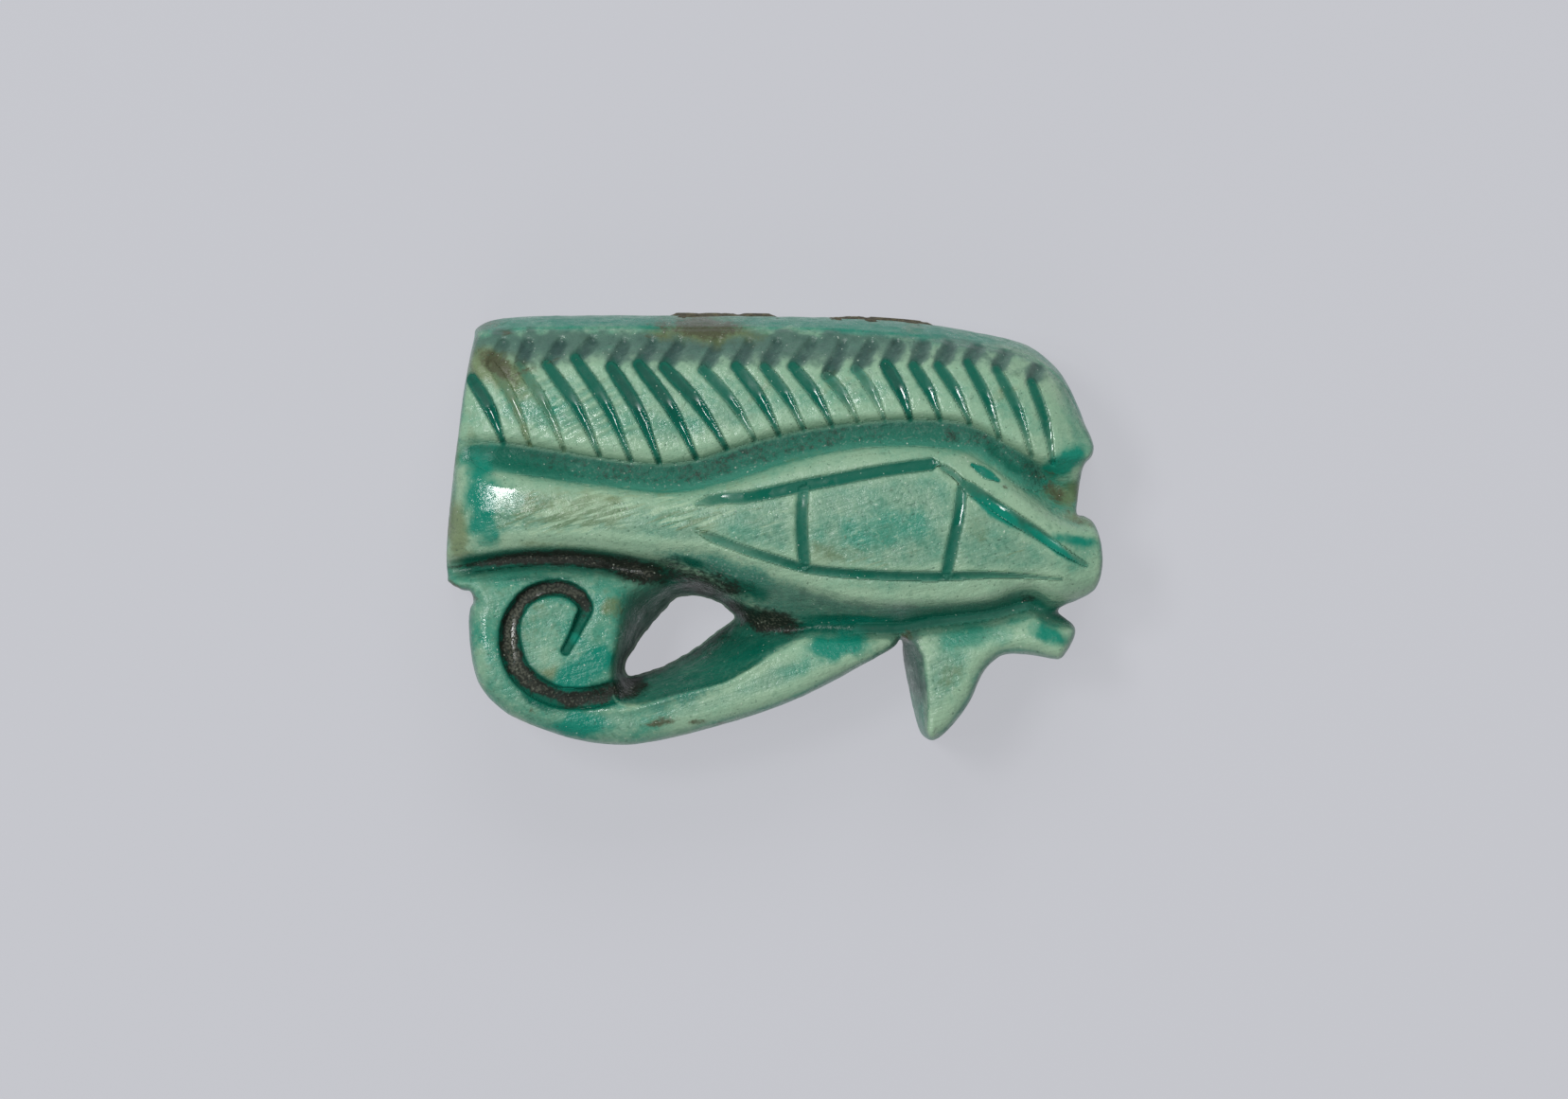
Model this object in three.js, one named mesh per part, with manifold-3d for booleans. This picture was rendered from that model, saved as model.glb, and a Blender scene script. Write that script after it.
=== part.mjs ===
// Openwork eye stamp seal, carved from one stone, with its glaze pooled in the cut lines.
// Millimetres, Z up. The engraved face rests on Z = 0 and the carved eye looks up.
import * as THREE from "three";
import Module from "manifold-3d";

const wasm = await Module();
wasm.setup();
const { Manifold, Mesh } = wasm;

// Overall sizes
const LENGTH = 16;
const WIDTH = 10.5;
const HEIGHT = 5;

// Carving sizes
const WALL_LEAN = 0.5;
const BEVEL_WIDTH = 0.74;
const BORE_RADIUS = 0.62;
const STROKE_WIDTH = 0.22;
const STROKE_DEPTH = 0.24;
const LINE_WIDTH = 0.24;
const LINE_DEPTH = 0.24;
const SPIRAL_WIDTH = 0.4;
const SPIRAL_DEPTH = 0.55;
const NICK_WIDTH = 0.2;
const NICK_DEPTH = 0.2;
const ENGRAVING_WIDTH = 0.26;
const ENGRAVING_DEPTH = 0.25;
const RING_RADIUS = 0.62;
const DOT_RADIUS = 0.16;

// Glaze and crust sizes
const GLAZE_SINK = 0.06;
const CRUST_THICKNESS = 0.07;
const GAP = 0.02;
const OVERRUN = 0.6;

// Shape tables, as shares of the length and the width from the lower left corner.
// The last column is the share of the wall lean at that point.
const outlineShares = [
  [0.041, 0.945, 0.3], [0.044, 0.969, 0.6], [0.07, 0.989, 1], [0.128, 0.998, 1], [0.243, 1, 1],
  [0.416, 0.999, 1], [0.56, 0.996, 1], [0.661, 0.989, 1], [0.74, 0.978, 1], [0.811, 0.96, 1],
  [0.86, 0.944, 0.9], [0.894, 0.924, 0.8], [0.923, 0.89, 0.6], [0.946, 0.846, 0.4],
  [0.964, 0.787, 0.25], [0.975, 0.741, 0.15], [0.984, 0.71, 0.1], [0.987, 0.688, 0.1],
  [0.983, 0.669, 0.1], [0.972, 0.648, 0.1], [0.966, 0.609, 0.1], [0.962, 0.565, 0.1],
  [0.962, 0.536, 0.1], [0.972, 0.532, 0.1], [0.985, 0.519, 0.1], [0.995, 0.488, 0.1],
  [1, 0.448, 0.1], [0.999, 0.404, 0.1], [0.992, 0.369, 0.1], [0.982, 0.352, 0.1],
  [0.961, 0.335, 0.1], [0.938, 0.321, 0.1], [0.933, 0.308, 0.1], [0.945, 0.293, 0.1],
  [0.956, 0.279, 0.1], [0.959, 0.262, 0.1], [0.952, 0.233, 0.1], [0.938, 0.202, 0.1],
  [0.923, 0.2, 0.1], [0.889, 0.209, 0.1], [0.854, 0.21, 0.1], [0.835, 0.195, 0.1],
  [0.817, 0.163, 0.1], [0.798, 0.101, 0.1], [0.773, 0.048, 0.1], [0.75, 0.015, 0.1],
  [0.736, 0.011, 0.2], [0.723, 0.031, 0.4], [0.713, 0.084, 0.8], [0.703, 0.156, 1],
  [0.697, 0.213, 1], [0.697, 0.235, 0.5], [0.692, 0.245, 0.1], [0.68, 0.224, 0.1],
  [0.639, 0.189, 0.1], [0.59, 0.148, 0.1], [0.531, 0.104, 0.1], [0.459, 0.064, 0.1],
  [0.375, 0.028, 0.1], [0.315, 0.007, 0.1], [0.265, 0, 0.1], [0.204, 0.01, 0.1],
  [0.138, 0.041, 0.1], [0.086, 0.08, 0.1], [0.054, 0.131, 0.1], [0.039, 0.198, 0.1],
  [0.034, 0.279, 0.1], [0.036, 0.317, 0.1], [0.041, 0.333, 0.1], [0.036, 0.356, 0.1],
  [0.021, 0.363, 0.1], [0.006, 0.373, 0.1], [0, 0.424, 0.1], [0.002, 0.499, 0.1],
  [0.01, 0.624, 0.1], [0.018, 0.727, 0.1], [0.028, 0.84, 0.15], [0.036, 0.905, 0.2],
];
const holeShares = [
  [0.442, 0.297], [0.433, 0.279], [0.409, 0.253], [0.376, 0.215], [0.33, 0.176], [0.301, 0.162],
  [0.281, 0.154], [0.27, 0.163], [0.269, 0.191], [0.281, 0.224], [0.296, 0.259], [0.327, 0.313],
  [0.347, 0.343], [0.373, 0.351], [0.404, 0.343], [0.428, 0.321],
];
const funnelShares = [
  [0.563, 0.275], [0.531, 0.233], [0.497, 0.209], [0.464, 0.174], [0.423, 0.143], [0.376, 0.125],
  [0.331, 0.108], [0.289, 0.092], [0.257, 0.108], [0.265, 0.165], [0.278, 0.213], [0.285, 0.268],
  [0.285, 0.323], [0.283, 0.363], [0.315, 0.385], [0.366, 0.385], [0.423, 0.352], [0.481, 0.314],
  [0.531, 0.29],
];

// Lines that run across the seal, each as length share and width share.
const ledgeShares = [
  [0, 0.951], [0.3, 0.952], [0.6, 0.949], [0.74, 0.951], [0.811, 0.94], [0.86, 0.924],
  [0.9, 0.898], [0.93, 0.86], [0.955, 0.8], [0.975, 0.76], [1, 0.74],
];
const browEdgeShares = [
  [0, 0.692], [0.041, 0.703], [0.085, 0.705], [0.135, 0.696], [0.185, 0.684], [0.243, 0.669],
  [0.301, 0.659], [0.337, 0.657], [0.38, 0.667], [0.423, 0.687], [0.474, 0.711], [0.531, 0.731],
  [0.589, 0.745], [0.647, 0.754], [0.704, 0.759], [0.762, 0.758], [0.798, 0.746], [0.834, 0.719],
  [0.87, 0.689], [0.906, 0.662], [0.942, 0.655], [1, 0.666],
];
const lidEdgeShares = [
  [0, 0.657], [0.041, 0.648], [0.099, 0.631], [0.157, 0.615], [0.229, 0.601], [0.279, 0.591],
  [0.33, 0.584], [0.38, 0.589], [0.43, 0.607], [0.474, 0.627], [0.531, 0.654], [0.589, 0.674],
  [0.647, 0.686], [0.704, 0.689], [0.762, 0.68], [0.791, 0.667], [0.827, 0.635], [0.863, 0.598],
  [0.891, 0.565], [0.923, 0.532], [0.956, 0.512], [1, 0.503],
];
const lidFrontShares = [
  [0, 0.429], [0.041, 0.437], [0.113, 0.452], [0.185, 0.456], [0.243, 0.453], [0.33, 0.438],
  [0.384, 0.43], [0.428, 0.413], [0.474, 0.398], [0.531, 0.38], [0.582, 0.358], [0.625, 0.341],
  [0.7, 0.334], [0.791, 0.337], [0.834, 0.346], [0.863, 0.364], [0.891, 0.368], [0.928, 0.354],
  [1, 0.349],
];
const lowChannelShares = [
  [0, 0.411], [0.041, 0.419], [0.113, 0.433], [0.185, 0.435], [0.243, 0.426], [0.301, 0.407],
  [0.358, 0.378], [0.416, 0.332], [0.459, 0.297], [0.51, 0.279], [0.563, 0.277], [0.634, 0.275],
  [0.69, 0.276], [0.733, 0.29], [0.791, 0.3], [0.834, 0.31], [0.891, 0.331], [0.915, 0.31],
  [0.935, 0.299], [1, 0.288],
];

// Heights along the length, each as length share and height share.
const browHeightShares = [
  [0, 0.8], [0.04, 0.86], [0.1, 0.9], [0.3, 0.93], [0.6, 0.93], [0.85, 0.91], [0.95, 0.85], [1, 0.78],
];
const eyeHeightShares = [
  [0, 0.82], [0.04, 0.88], [0.1, 0.93], [0.3, 0.96], [0.6, 0.97], [0.8, 0.96], [0.92, 0.92],
  [1, 0.83],
];
const ledgeHeightShare = 0.74;
const channelFloorShare = 0.15;
const lidCrownShare = 0.03;
const lowFloorShare = 0.66;
const lowTopShare = 0.79;
const lowEdgeShare = 0.75;
const stationCount = 56;

// Cut lines on the eye and the volute.
const eyeTopShares = [
  [0.383, 0.56], [0.416, 0.571], [0.459, 0.577], [0.502, 0.59], [0.543, 0.604], [0.589, 0.615],
  [0.647, 0.631], [0.697, 0.643], [0.747, 0.653],
];
const eyeCornerShares = [
  [0.747, 0.651], [0.785, 0.609], [0.827, 0.563], [0.863, 0.526], [0.9, 0.49], [0.935, 0.453],
  [0.958, 0.431], [0.972, 0.418],
];
const eyeLowShares = [
  [0.383, 0.496], [0.416, 0.475], [0.459, 0.451], [0.502, 0.431], [0.546, 0.411], [0.596, 0.401],
  [0.654, 0.395], [0.711, 0.392], [0.762, 0.392], [0.819, 0.395], [0.877, 0.392], [0.935, 0.385],
];
const irisLeftShares = [[0.544, 0.602], [0.541, 0.51], [0.546, 0.411]];
const irisRightShares = [[0.785, 0.604], [0.779, 0.532], [0.769, 0.462], [0.76, 0.393]];
const nickShares = [[0.798, 0.655], [0.817, 0.637], [0.837, 0.618]];
const spiralShares = [
  [0.258, 0.126], [0.226, 0.112], [0.193, 0.109], [0.164, 0.116], [0.134, 0.14], [0.111, 0.176],
  [0.1, 0.223], [0.098, 0.27], [0.108, 0.314], [0.127, 0.347], [0.155, 0.364], [0.183, 0.362],
  [0.203, 0.345], [0.213, 0.318], [0.206, 0.29], [0.196, 0.257], [0.183, 0.22],
];

// Herringbone of the brow: top of the short stroke, bend, and foot of the long stroke.
const strokeShares = [
  [[0.046, 0.862], [0.058, 0.8], [0.087, 0.705]],
  [[0.094, 0.944], [0.072, 0.88], [0.128, 0.7]],
  [[0.131, 0.944], [0.113, 0.88], [0.18, 0.688]],
  [[0.183, 0.944], [0.155, 0.881], [0.234, 0.675]],
  [[0.232, 0.944], [0.198, 0.895], [0.281, 0.664]],
  [[0.278, 0.944], [0.253, 0.875], [0.324, 0.66]],
  [[0.321, 0.944], [0.294, 0.881], [0.38, 0.669]],
  [[0.364, 0.944], [0.333, 0.875], [0.426, 0.69]],
  [[0.423, 0.944], [0.393, 0.87], [0.469, 0.711]],
  [[0.468, 0.944], [0.442, 0.877], [0.506, 0.722]],
  [[0.511, 0.944], [0.485, 0.875], [0.543, 0.735]],
  [[0.566, 0.944], [0.528, 0.877], [0.586, 0.744]],
  [[0.611, 0.944], [0.58, 0.856], [0.626, 0.75]],
  [[0.655, 0.944], [0.624, 0.872], [0.666, 0.756]],
  [[0.693, 0.944], [0.669, 0.88], [0.705, 0.759]],
  [[0.734, 0.944], [0.711, 0.878], [0.75, 0.758]],
  [[0.773, 0.94], [0.748, 0.879], [0.795, 0.748]],
  [[0.815, 0.934], [0.793, 0.885], [0.84, 0.714]],
  [[0.856, 0.92], [0.837, 0.87], [0.889, 0.675]],
  [[0.904, 0.885], [0.89, 0.841], [0.921, 0.659]],
];

// Marks of the stamp face, as ring centres and as ends of the tie lines.
const ringShares = [[0.2, 0.62], [0.4, 0.72], [0.6, 0.72], [0.8, 0.62]];
const borderShares = [
  [0.11, 0.86], [0.3, 0.9], [0.55, 0.9], [0.78, 0.87], [0.89, 0.78], [0.9, 0.64], [0.82, 0.48],
  [0.68, 0.5], [0.5, 0.56], [0.32, 0.5], [0.16, 0.46], [0.08, 0.54], [0.07, 0.7],
];

// Turns a share of the seal into a point in millimetres.
function place(share) {
  return new THREE.Vector2((share[0] - 0.5) * LENGTH, (share[1] - 0.5) * WIDTH);
}

// Reads a table of pairs at a given length share, with a smooth curve through its points.
function readTable(table, share) {
  let index = 0;
  while (index < table.length - 2 && table[index + 1][0] < share) {
    index += 1;
  }
  const before = table[Math.max(index - 1, 0)];
  const from = table[index];
  const to = table[index + 1];
  const after = table[Math.min(index + 2, table.length - 1)];
  const span = to[0] - from[0];
  const part = THREE.MathUtils.clamp((share - from[0]) / span, 0, 1);
  const slopeFrom = (to[1] - before[1]) / (to[0] - before[0]) * span;
  const slopeTo = (after[1] - from[1]) / (after[0] - from[0]) * span;
  const square = part * part;
  const cube = square * part;
  return (
    (2 * cube - 3 * square + 1) * from[1] +
    (cube - 2 * square + part) * slopeFrom +
    (3 * square - 2 * cube) * to[1] +
    (cube - square) * slopeTo
  );
}

// Makes a solid from points and triangles, with its triangles turned to face outward.
function makeSolid(points, triangles) {
  const cross = new THREE.Vector3();
  let volume = 0;
  for (const [a, b, c] of triangles) {
    volume += cross.crossVectors(points[a], points[b]).dot(points[c]);
  }
  const facing = volume < 0 ? triangles.map(([a, b, c]) => [a, c, b]) : triangles;
  const vertProperties = new Float32Array(points.flatMap((point) => [point.x, point.y, point.z]));
  const triVerts = new Uint32Array(facing.flat());
  return new Manifold(new Mesh({ numProp: 3, vertProperties, triVerts }));
}

// Fills a small section with a fan of triangles.
function fanCap(ring) {
  return ring.slice(2).map((_, index) => [0, index + 1, index + 2]);
}

// Fills a level ring of any shape with triangles.
function levelCap(ring) {
  const flat = ring.map((point) => new THREE.Vector2(point.x, point.y));
  const filled = THREE.ShapeUtils.triangulateShape(flat, []);
  return THREE.ShapeUtils.isClockWise(flat) ? filled.map(([a, b, c]) => [a, c, b]) : filled;
}

// Joins rings of equal length into a solid, capped at both ends unless it closes on itself.
function loft(rings, cap = fanCap, closed = false) {
  const size = rings[0].length;
  const points = rings.flat();
  const triangles = [];
  const bands = closed ? rings.length : rings.length - 1;
  for (let band = 0; band < bands; band += 1) {
    const low = band * size;
    const high = ((band + 1) % rings.length) * size;
    for (let side = 0; side < size; side += 1) {
      const next = (side + 1) % size;
      triangles.push([low + side, low + next, high + next]);
      triangles.push([low + side, high + next, high + side]);
    }
  }
  if (!closed) {
    const last = (rings.length - 1) * size;
    for (const [a, b, c] of cap(rings[0])) {
      triangles.push([a, c, b]);
    }
    for (const [a, b, c] of cap(rings[rings.length - 1])) {
      triangles.push([last + a, last + b, last + c]);
    }
  }
  return makeSolid(points, triangles);
}

// Follows a smooth closed curve through a table and returns evenly spaced points.
function closedCurve(table, count) {
  const corners = table.map((share) => {
    const spot = place(share);
    return new THREE.Vector3(spot.x, spot.y, (share[2] ?? 0) * WALL_LEAN);
  });
  const curve = new THREE.CatmullRomCurve3(corners, true, "catmullrom", 0.5);
  return curve.getPoints(count).slice(0, count);
}

// Rows of the relief at one length share, from the far edge to the near edge.
function reliefRows(share) {
  const lengthPart = THREE.MathUtils.clamp(share, 0, 1);
  const ledge = readTable(ledgeShares, lengthPart);
  const browEdge = readTable(browEdgeShares, lengthPart);
  const lidEdge = readTable(lidEdgeShares, lengthPart);
  const lidFront = readTable(lidFrontShares, lengthPart);
  const lowChannel = readTable(lowChannelShares, lengthPart);
  const bevelPart = Math.min(BEVEL_WIDTH / WIDTH, (ledge - browEdge) * 0.5);
  const bevel = ledge - bevelPart;
  const mix = THREE.MathUtils.lerp;
  const brow = readTable(browHeightShares, lengthPart);
  const eye = readTable(eyeHeightShares, lengthPart);
  const floor = brow - channelFloorShare;
  const rows = [
    [1 + OVERRUN / WIDTH, ledgeHeightShare],
    [ledge, ledgeHeightShare],
    [bevel, brow - 0.03],
    [mix(bevel, browEdge, 0.4), brow],
    [browEdge, brow - 0.02],
    [mix(browEdge, lidEdge, 0.3), floor],
    [mix(browEdge, lidEdge, 0.7), floor],
    [lidEdge, eye - 0.01],
    [mix(lidEdge, lidFront, 0.2), eye + 0.02],
    [mix(lidEdge, lidFront, 0.5), eye + lidCrownShare],
    [mix(lidEdge, lidFront, 0.8), eye + 0.01],
    [lidFront, eye - 0.04],
    [lowChannel, lowFloorShare],
    [lowChannel - 0.035, lowTopShare - 0.03],
    [lowChannel - 0.08, lowTopShare],
    [lowChannel * 0.4, lowTopShare],
    [-OVERRUN / WIDTH, lowEdgeShare],
  ];
  return rows.map(([across, up]) => new THREE.Vector2((across - 0.5) * WIDTH, up * HEIGHT));
}

const browEdgeRow = 4;
const upperFloorRow = 5;
const lowerFloorRow = 6;
const lidEdgeRow = 7;
const lidFrontRow = 11;
const lowChannelRow = 12;
const volutePeakRow = 13;

// Height of the relief above the stamp face at a point.
function reliefHeight(x, y) {
  const rows = reliefRows(x / LENGTH + 0.5);
  let index = 0;
  while (index < rows.length - 2 && rows[index + 1].x > y) {
    index += 1;
  }
  const from = rows[index];
  const to = rows[index + 1];
  const part = THREE.MathUtils.clamp((from.x - y) / (from.x - to.x), 0, 1);
  return THREE.MathUtils.lerp(from.y, to.y, part);
}

// Lays a table of shares on the relief as points in space.
function layOnRelief(table) {
  return table.map((share) => {
    const spot = place(share);
    return new THREE.Vector3(spot.x, spot.y, reliefHeight(spot.x, spot.y));
  });
}

// Lengthens an open path at its two ends, or shortens it when the lengths are negative.
function stretch(path, atStart, atEnd) {
  const result = path.map((point) => point.clone());
  const last = path.length - 1;
  const startWay = path[0].clone().sub(path[1]).normalize();
  const endWay = path[last].clone().sub(path[last - 1]).normalize();
  result[0].addScaledVector(startWay, atStart);
  result[last].addScaledVector(endWay, atEnd);
  return result;
}

// Carries a section of [sideways, upward] pairs along a path that runs over the seal.
function sweep(path, section, closed = false) {
  const count = path.length;
  const rings = path.map((point, index) => {
    const before = path[closed ? (index + count - 1) % count : Math.max(index - 1, 0)];
    const after = path[closed ? (index + 1) % count : Math.min(index + 1, count - 1)];
    const wayIn = new THREE.Vector2(point.x - before.x, point.y - before.y);
    const wayOut = new THREE.Vector2(after.x - point.x, after.y - point.y);
    if (wayIn.length() === 0) {
      wayIn.copy(wayOut);
    }
    if (wayOut.length() === 0) {
      wayOut.copy(wayIn);
    }
    const way = wayIn.normalize().clone().add(wayOut.normalize()).normalize();
    const widen = 1 / Math.max(way.dot(wayIn), 0.6);
    return section.map(([side, up]) => {
      const reach = side * widen;
      return new THREE.Vector3(point.x - way.y * reach, point.y + way.x * reach, point.z + up);
    });
  });
  return loft(rings, fanCap, closed);
}

// Section of a cut with leaning sides, open at the top.
function cutSection(width, depth) {
  const half = width / 2;
  const floorHalf = half * 0.5;
  const lipHalf = half + (half - floorHalf) * (OVERRUN / depth);
  return [[floorHalf, -depth], [-floorHalf, -depth], [-lipHalf, OVERRUN], [lipHalf, OVERRUN]];
}

// Section of the glaze that lies in such a cut and stops below its lip.
function glazeSection(width, depth) {
  const half = width / 2;
  const floorHalf = half * 0.5;
  const slope = (half - floorHalf) / depth;
  const low = -depth + GAP;
  const high = -GLAZE_SINK;
  const lowHalf = floorHalf + slope * GAP - GAP;
  const highHalf = half - slope * GLAZE_SINK - GAP;
  return [[lowHalf, low], [-lowHalf, low], [-highHalf, high], [highHalf, high]];
}

// Outer walls: the stamp face outline below and the leaned-in outline above.
const outlineCount = 156;
const rim = closedCurve(outlineShares, outlineCount).reverse();

function wallPoint(index, height) {
  const before = rim[(index + outlineCount - 1) % outlineCount];
  const after = rim[(index + 1) % outlineCount];
  const point = rim[index];
  const way = new THREE.Vector2(after.x - before.x, after.y - before.y).normalize();
  const lean = Math.max(point.z, 0) * (height / HEIGHT);
  return new THREE.Vector3(point.x - way.y * lean, point.y + way.x * lean, height);
}

function outwardWay(index) {
  const before = rim[(index + outlineCount - 1) % outlineCount];
  const after = rim[(index + 1) % outlineCount];
  return new THREE.Vector3(after.y - before.y, before.x - after.x, 0).normalize();
}

const walls = loft([
  rim.map((_, index) => wallPoint(index, 0)),
  rim.map((_, index) => wallPoint(index, HEIGHT + OVERRUN)),
], levelCap);

// Relief block: a grid whose rows follow the brow, the lids and the lower channel.
function makeRelief() {
  const points = [];
  const triangles = [];
  const rowCount = reliefRows(0).length;
  const reach = OVERRUN / LENGTH;
  for (let station = 0; station <= stationCount; station += 1) {
    const share = (station / stationCount) * (1 + 2 * reach) - reach;
    const x = (share - 0.5) * LENGTH;
    for (const row of reliefRows(share)) {
      points.push(new THREE.Vector3(x, row.x, row.y));
    }
    for (const row of reliefRows(share)) {
      points.push(new THREE.Vector3(x, row.x, -OVERRUN));
    }
  }
  const ring = [];
  for (let row = 0; row < rowCount; row += 1) {
    ring.push(row);
  }
  for (let row = rowCount - 1; row >= 0; row -= 1) {
    ring.push(rowCount + row);
  }
  const step = rowCount * 2;
  for (let station = 0; station < stationCount; station += 1) {
    const near = station * step;
    const far = near + step;
    for (let side = 0; side < ring.length; side += 1) {
      const from = ring[side];
      const to = ring[(side + 1) % ring.length];
      triangles.push([near + from, near + to, far + to]);
      triangles.push([near + from, far + to, far + from]);
    }
  }
  const end = stationCount * step;
  for (let row = 0; row < rowCount - 1; row += 1) {
    const under = rowCount + row;
    triangles.push([row, under, under + 1]);
    triangles.push([row, under + 1, row + 1]);
    triangles.push([end + row, end + under + 1, end + under]);
    triangles.push([end + row, end + row + 1, end + under + 1]);
  }
  return makeSolid(points, triangles);
}

// Opening between volute, eye and tail: wide above, narrow halfway down, slightly wider below.
const openingCount = 40;
const neck = closedCurve(holeShares, openingCount).reverse();
const mouth = closedCurve(funnelShares, openingCount).reverse();
const neckHeightShare = 0.3;
const opening = loft([
  neck.map((point) => new THREE.Vector3(point.x, point.y, -OVERRUN)),
  neck.map((point) => new THREE.Vector3(point.x, point.y, neckHeightShare * HEIGHT)),
  mouth.map((point) => new THREE.Vector3(point.x, point.y, lowTopShare * HEIGHT)),
  mouth.map((point) => new THREE.Vector3(point.x, point.y, HEIGHT + OVERRUN)),
], levelCap);

// Suspension hole along the length, round, from one end to the other.
const boreAcrossShare = 0.58;
const boreUpShare = 0.4;
const boreSides = 20;

function boreRing(x) {
  const centre = place([0, boreAcrossShare]);
  return Array.from({ length: boreSides }, (_, index) => {
    const angle = (index / boreSides) * 2 * Math.PI;
    return new THREE.Vector3(
      x,
      centre.y + Math.cos(angle) * BORE_RADIUS,
      boreUpShare * HEIGHT + Math.sin(angle) * BORE_RADIUS,
    );
  });
}

const bore = loft([boreRing(-LENGTH / 2 - OVERRUN), boreRing(LENGTH / 2 + OVERRUN)]);

// Cut lines with their glaze.
const strokePaths = strokeShares.map(([top, bend, foot]) => {
  const middle = [(bend[0] + foot[0]) / 2, (bend[1] + foot[1]) / 2];
  return layOnRelief([top, bend, middle, foot]);
});
const linePaths = [eyeTopShares, eyeCornerShares, eyeLowShares, irisLeftShares, irisRightShares];
const eyePaths = linePaths.map(layOnRelief);
const spiralPath = layOnRelief(spiralShares).map((point) => {
  point.z = lowTopShare * HEIGHT;
  return point;
});
const nickPath = layOnRelief(nickShares);

function glazeIn(path, width, depth) {
  return sweep(stretch(path, -2 * GAP, -2 * GAP), glazeSection(width, depth));
}

const strokeCut = cutSection(STROKE_WIDTH, STROKE_DEPTH);
const cuts = [
  ...strokePaths.map((path) => sweep(stretch(path, 0, GLAZE_SINK), strokeCut)),
  ...eyePaths.map((path) => sweep(path, cutSection(LINE_WIDTH, LINE_DEPTH))),
  sweep(spiralPath, cutSection(SPIRAL_WIDTH, SPIRAL_DEPTH)),
  sweep(nickPath, cutSection(NICK_WIDTH, NICK_DEPTH)),
];

// Engraving of the stamp face.
const engravedSection = [
  [ENGRAVING_WIDTH / 2, -OVERRUN],
  [ENGRAVING_WIDTH / 2, 0],
  [0, ENGRAVING_DEPTH],
  [-ENGRAVING_WIDTH / 2, 0],
  [-ENGRAVING_WIDTH / 2, -OVERRUN],
];
const ringSides = 18;

function circlePath(centreShare, radius) {
  const centre = place(centreShare);
  return Array.from({ length: ringSides }, (_, index) => {
    const angle = (index / ringSides) * 2 * Math.PI;
    const across = Math.cos(angle) * radius;
    return new THREE.Vector3(centre.x + across, centre.y + Math.sin(angle) * radius, 0);
  });
}

function dot(centreShare) {
  const below = circlePath(centreShare, DOT_RADIUS);
  const above = circlePath(centreShare, DOT_RADIUS * 0.5);
  return loft([
    below.map((point) => point.clone().setZ(-OVERRUN)),
    below.map((point) => point.clone()),
    above.map((point) => point.clone().setZ(ENGRAVING_DEPTH)),
  ]);
}

const borderPath = closedCurve(borderShares, 52).map((point) => point.clone().setZ(0));
const engraving = [
  sweep(borderPath.reverse(), engravedSection, true),
  ...ringShares.map((centre) => sweep(circlePath(centre, RING_RADIUS), engravedSection, true)),
  ...ringShares.map((centre) => dot(centre)),
];
for (let index = 0; index < ringShares.length - 1; index += 1) {
  const from = place(ringShares[index]);
  const to = place(ringShares[index + 1]);
  const way = to.clone().sub(from).normalize();
  const start = from.clone().addScaledVector(way, RING_RADIUS);
  const finish = to.clone().addScaledVector(way, -RING_RADIUS);
  engraving.push(sweep([
    new THREE.Vector3(start.x, start.y, 0),
    new THREE.Vector3(finish.x, finish.y, 0),
  ], engravedSection));
}

const body = walls
  .intersect(makeRelief())
  .subtract(Manifold.union([opening, bore, ...cuts, ...engraving]));

// Glaze that lies in the channels of the relief itself.
function channelGlaze(fromShare, toShare, sectionAt) {
  const reach = OVERRUN / LENGTH;
  const rings = [];
  for (let station = 0; station <= stationCount; station += 1) {
    const share = (station / stationCount) * (1 + 2 * reach) - reach;
    if (share >= fromShare && share <= toShare) {
      const x = (share - 0.5) * LENGTH;
      rings.push(sectionAt(reliefRows(share)).map((spot) => new THREE.Vector3(x, spot.x, spot.y)));
    }
  }
  return loft(rings);
}

const channelFillShare = 0.3;

function browChannelSection(rows) {
  const upperFloor = rows[upperFloorRow];
  const lowerFloor = rows[lowerFloorRow];
  const upper = upperFloor.clone().lerp(rows[browEdgeRow], channelFillShare);
  const lower = lowerFloor.clone().lerp(rows[lidEdgeRow], channelFillShare);
  return [
    new THREE.Vector2(lowerFloor.x + GAP, lowerFloor.y + GAP),
    new THREE.Vector2(upperFloor.x - GAP, upperFloor.y + GAP),
    new THREE.Vector2(upper.x - 2 * GAP, upper.y),
    new THREE.Vector2(lower.x + 2 * GAP, lower.y),
  ];
}

function lowChannelSection(rows) {
  const floor = rows[lowChannelRow];
  const upper = floor.clone().lerp(rows[lidFrontRow], channelFillShare);
  const lower = floor.clone().lerp(rows[volutePeakRow], 2 * channelFillShare);
  return [
    new THREE.Vector2(floor.x, floor.y + 2 * GAP),
    new THREE.Vector2(upper.x - 2 * GAP, upper.y),
    new THREE.Vector2(lower.x + 2 * GAP, lower.y),
  ];
}

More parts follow.
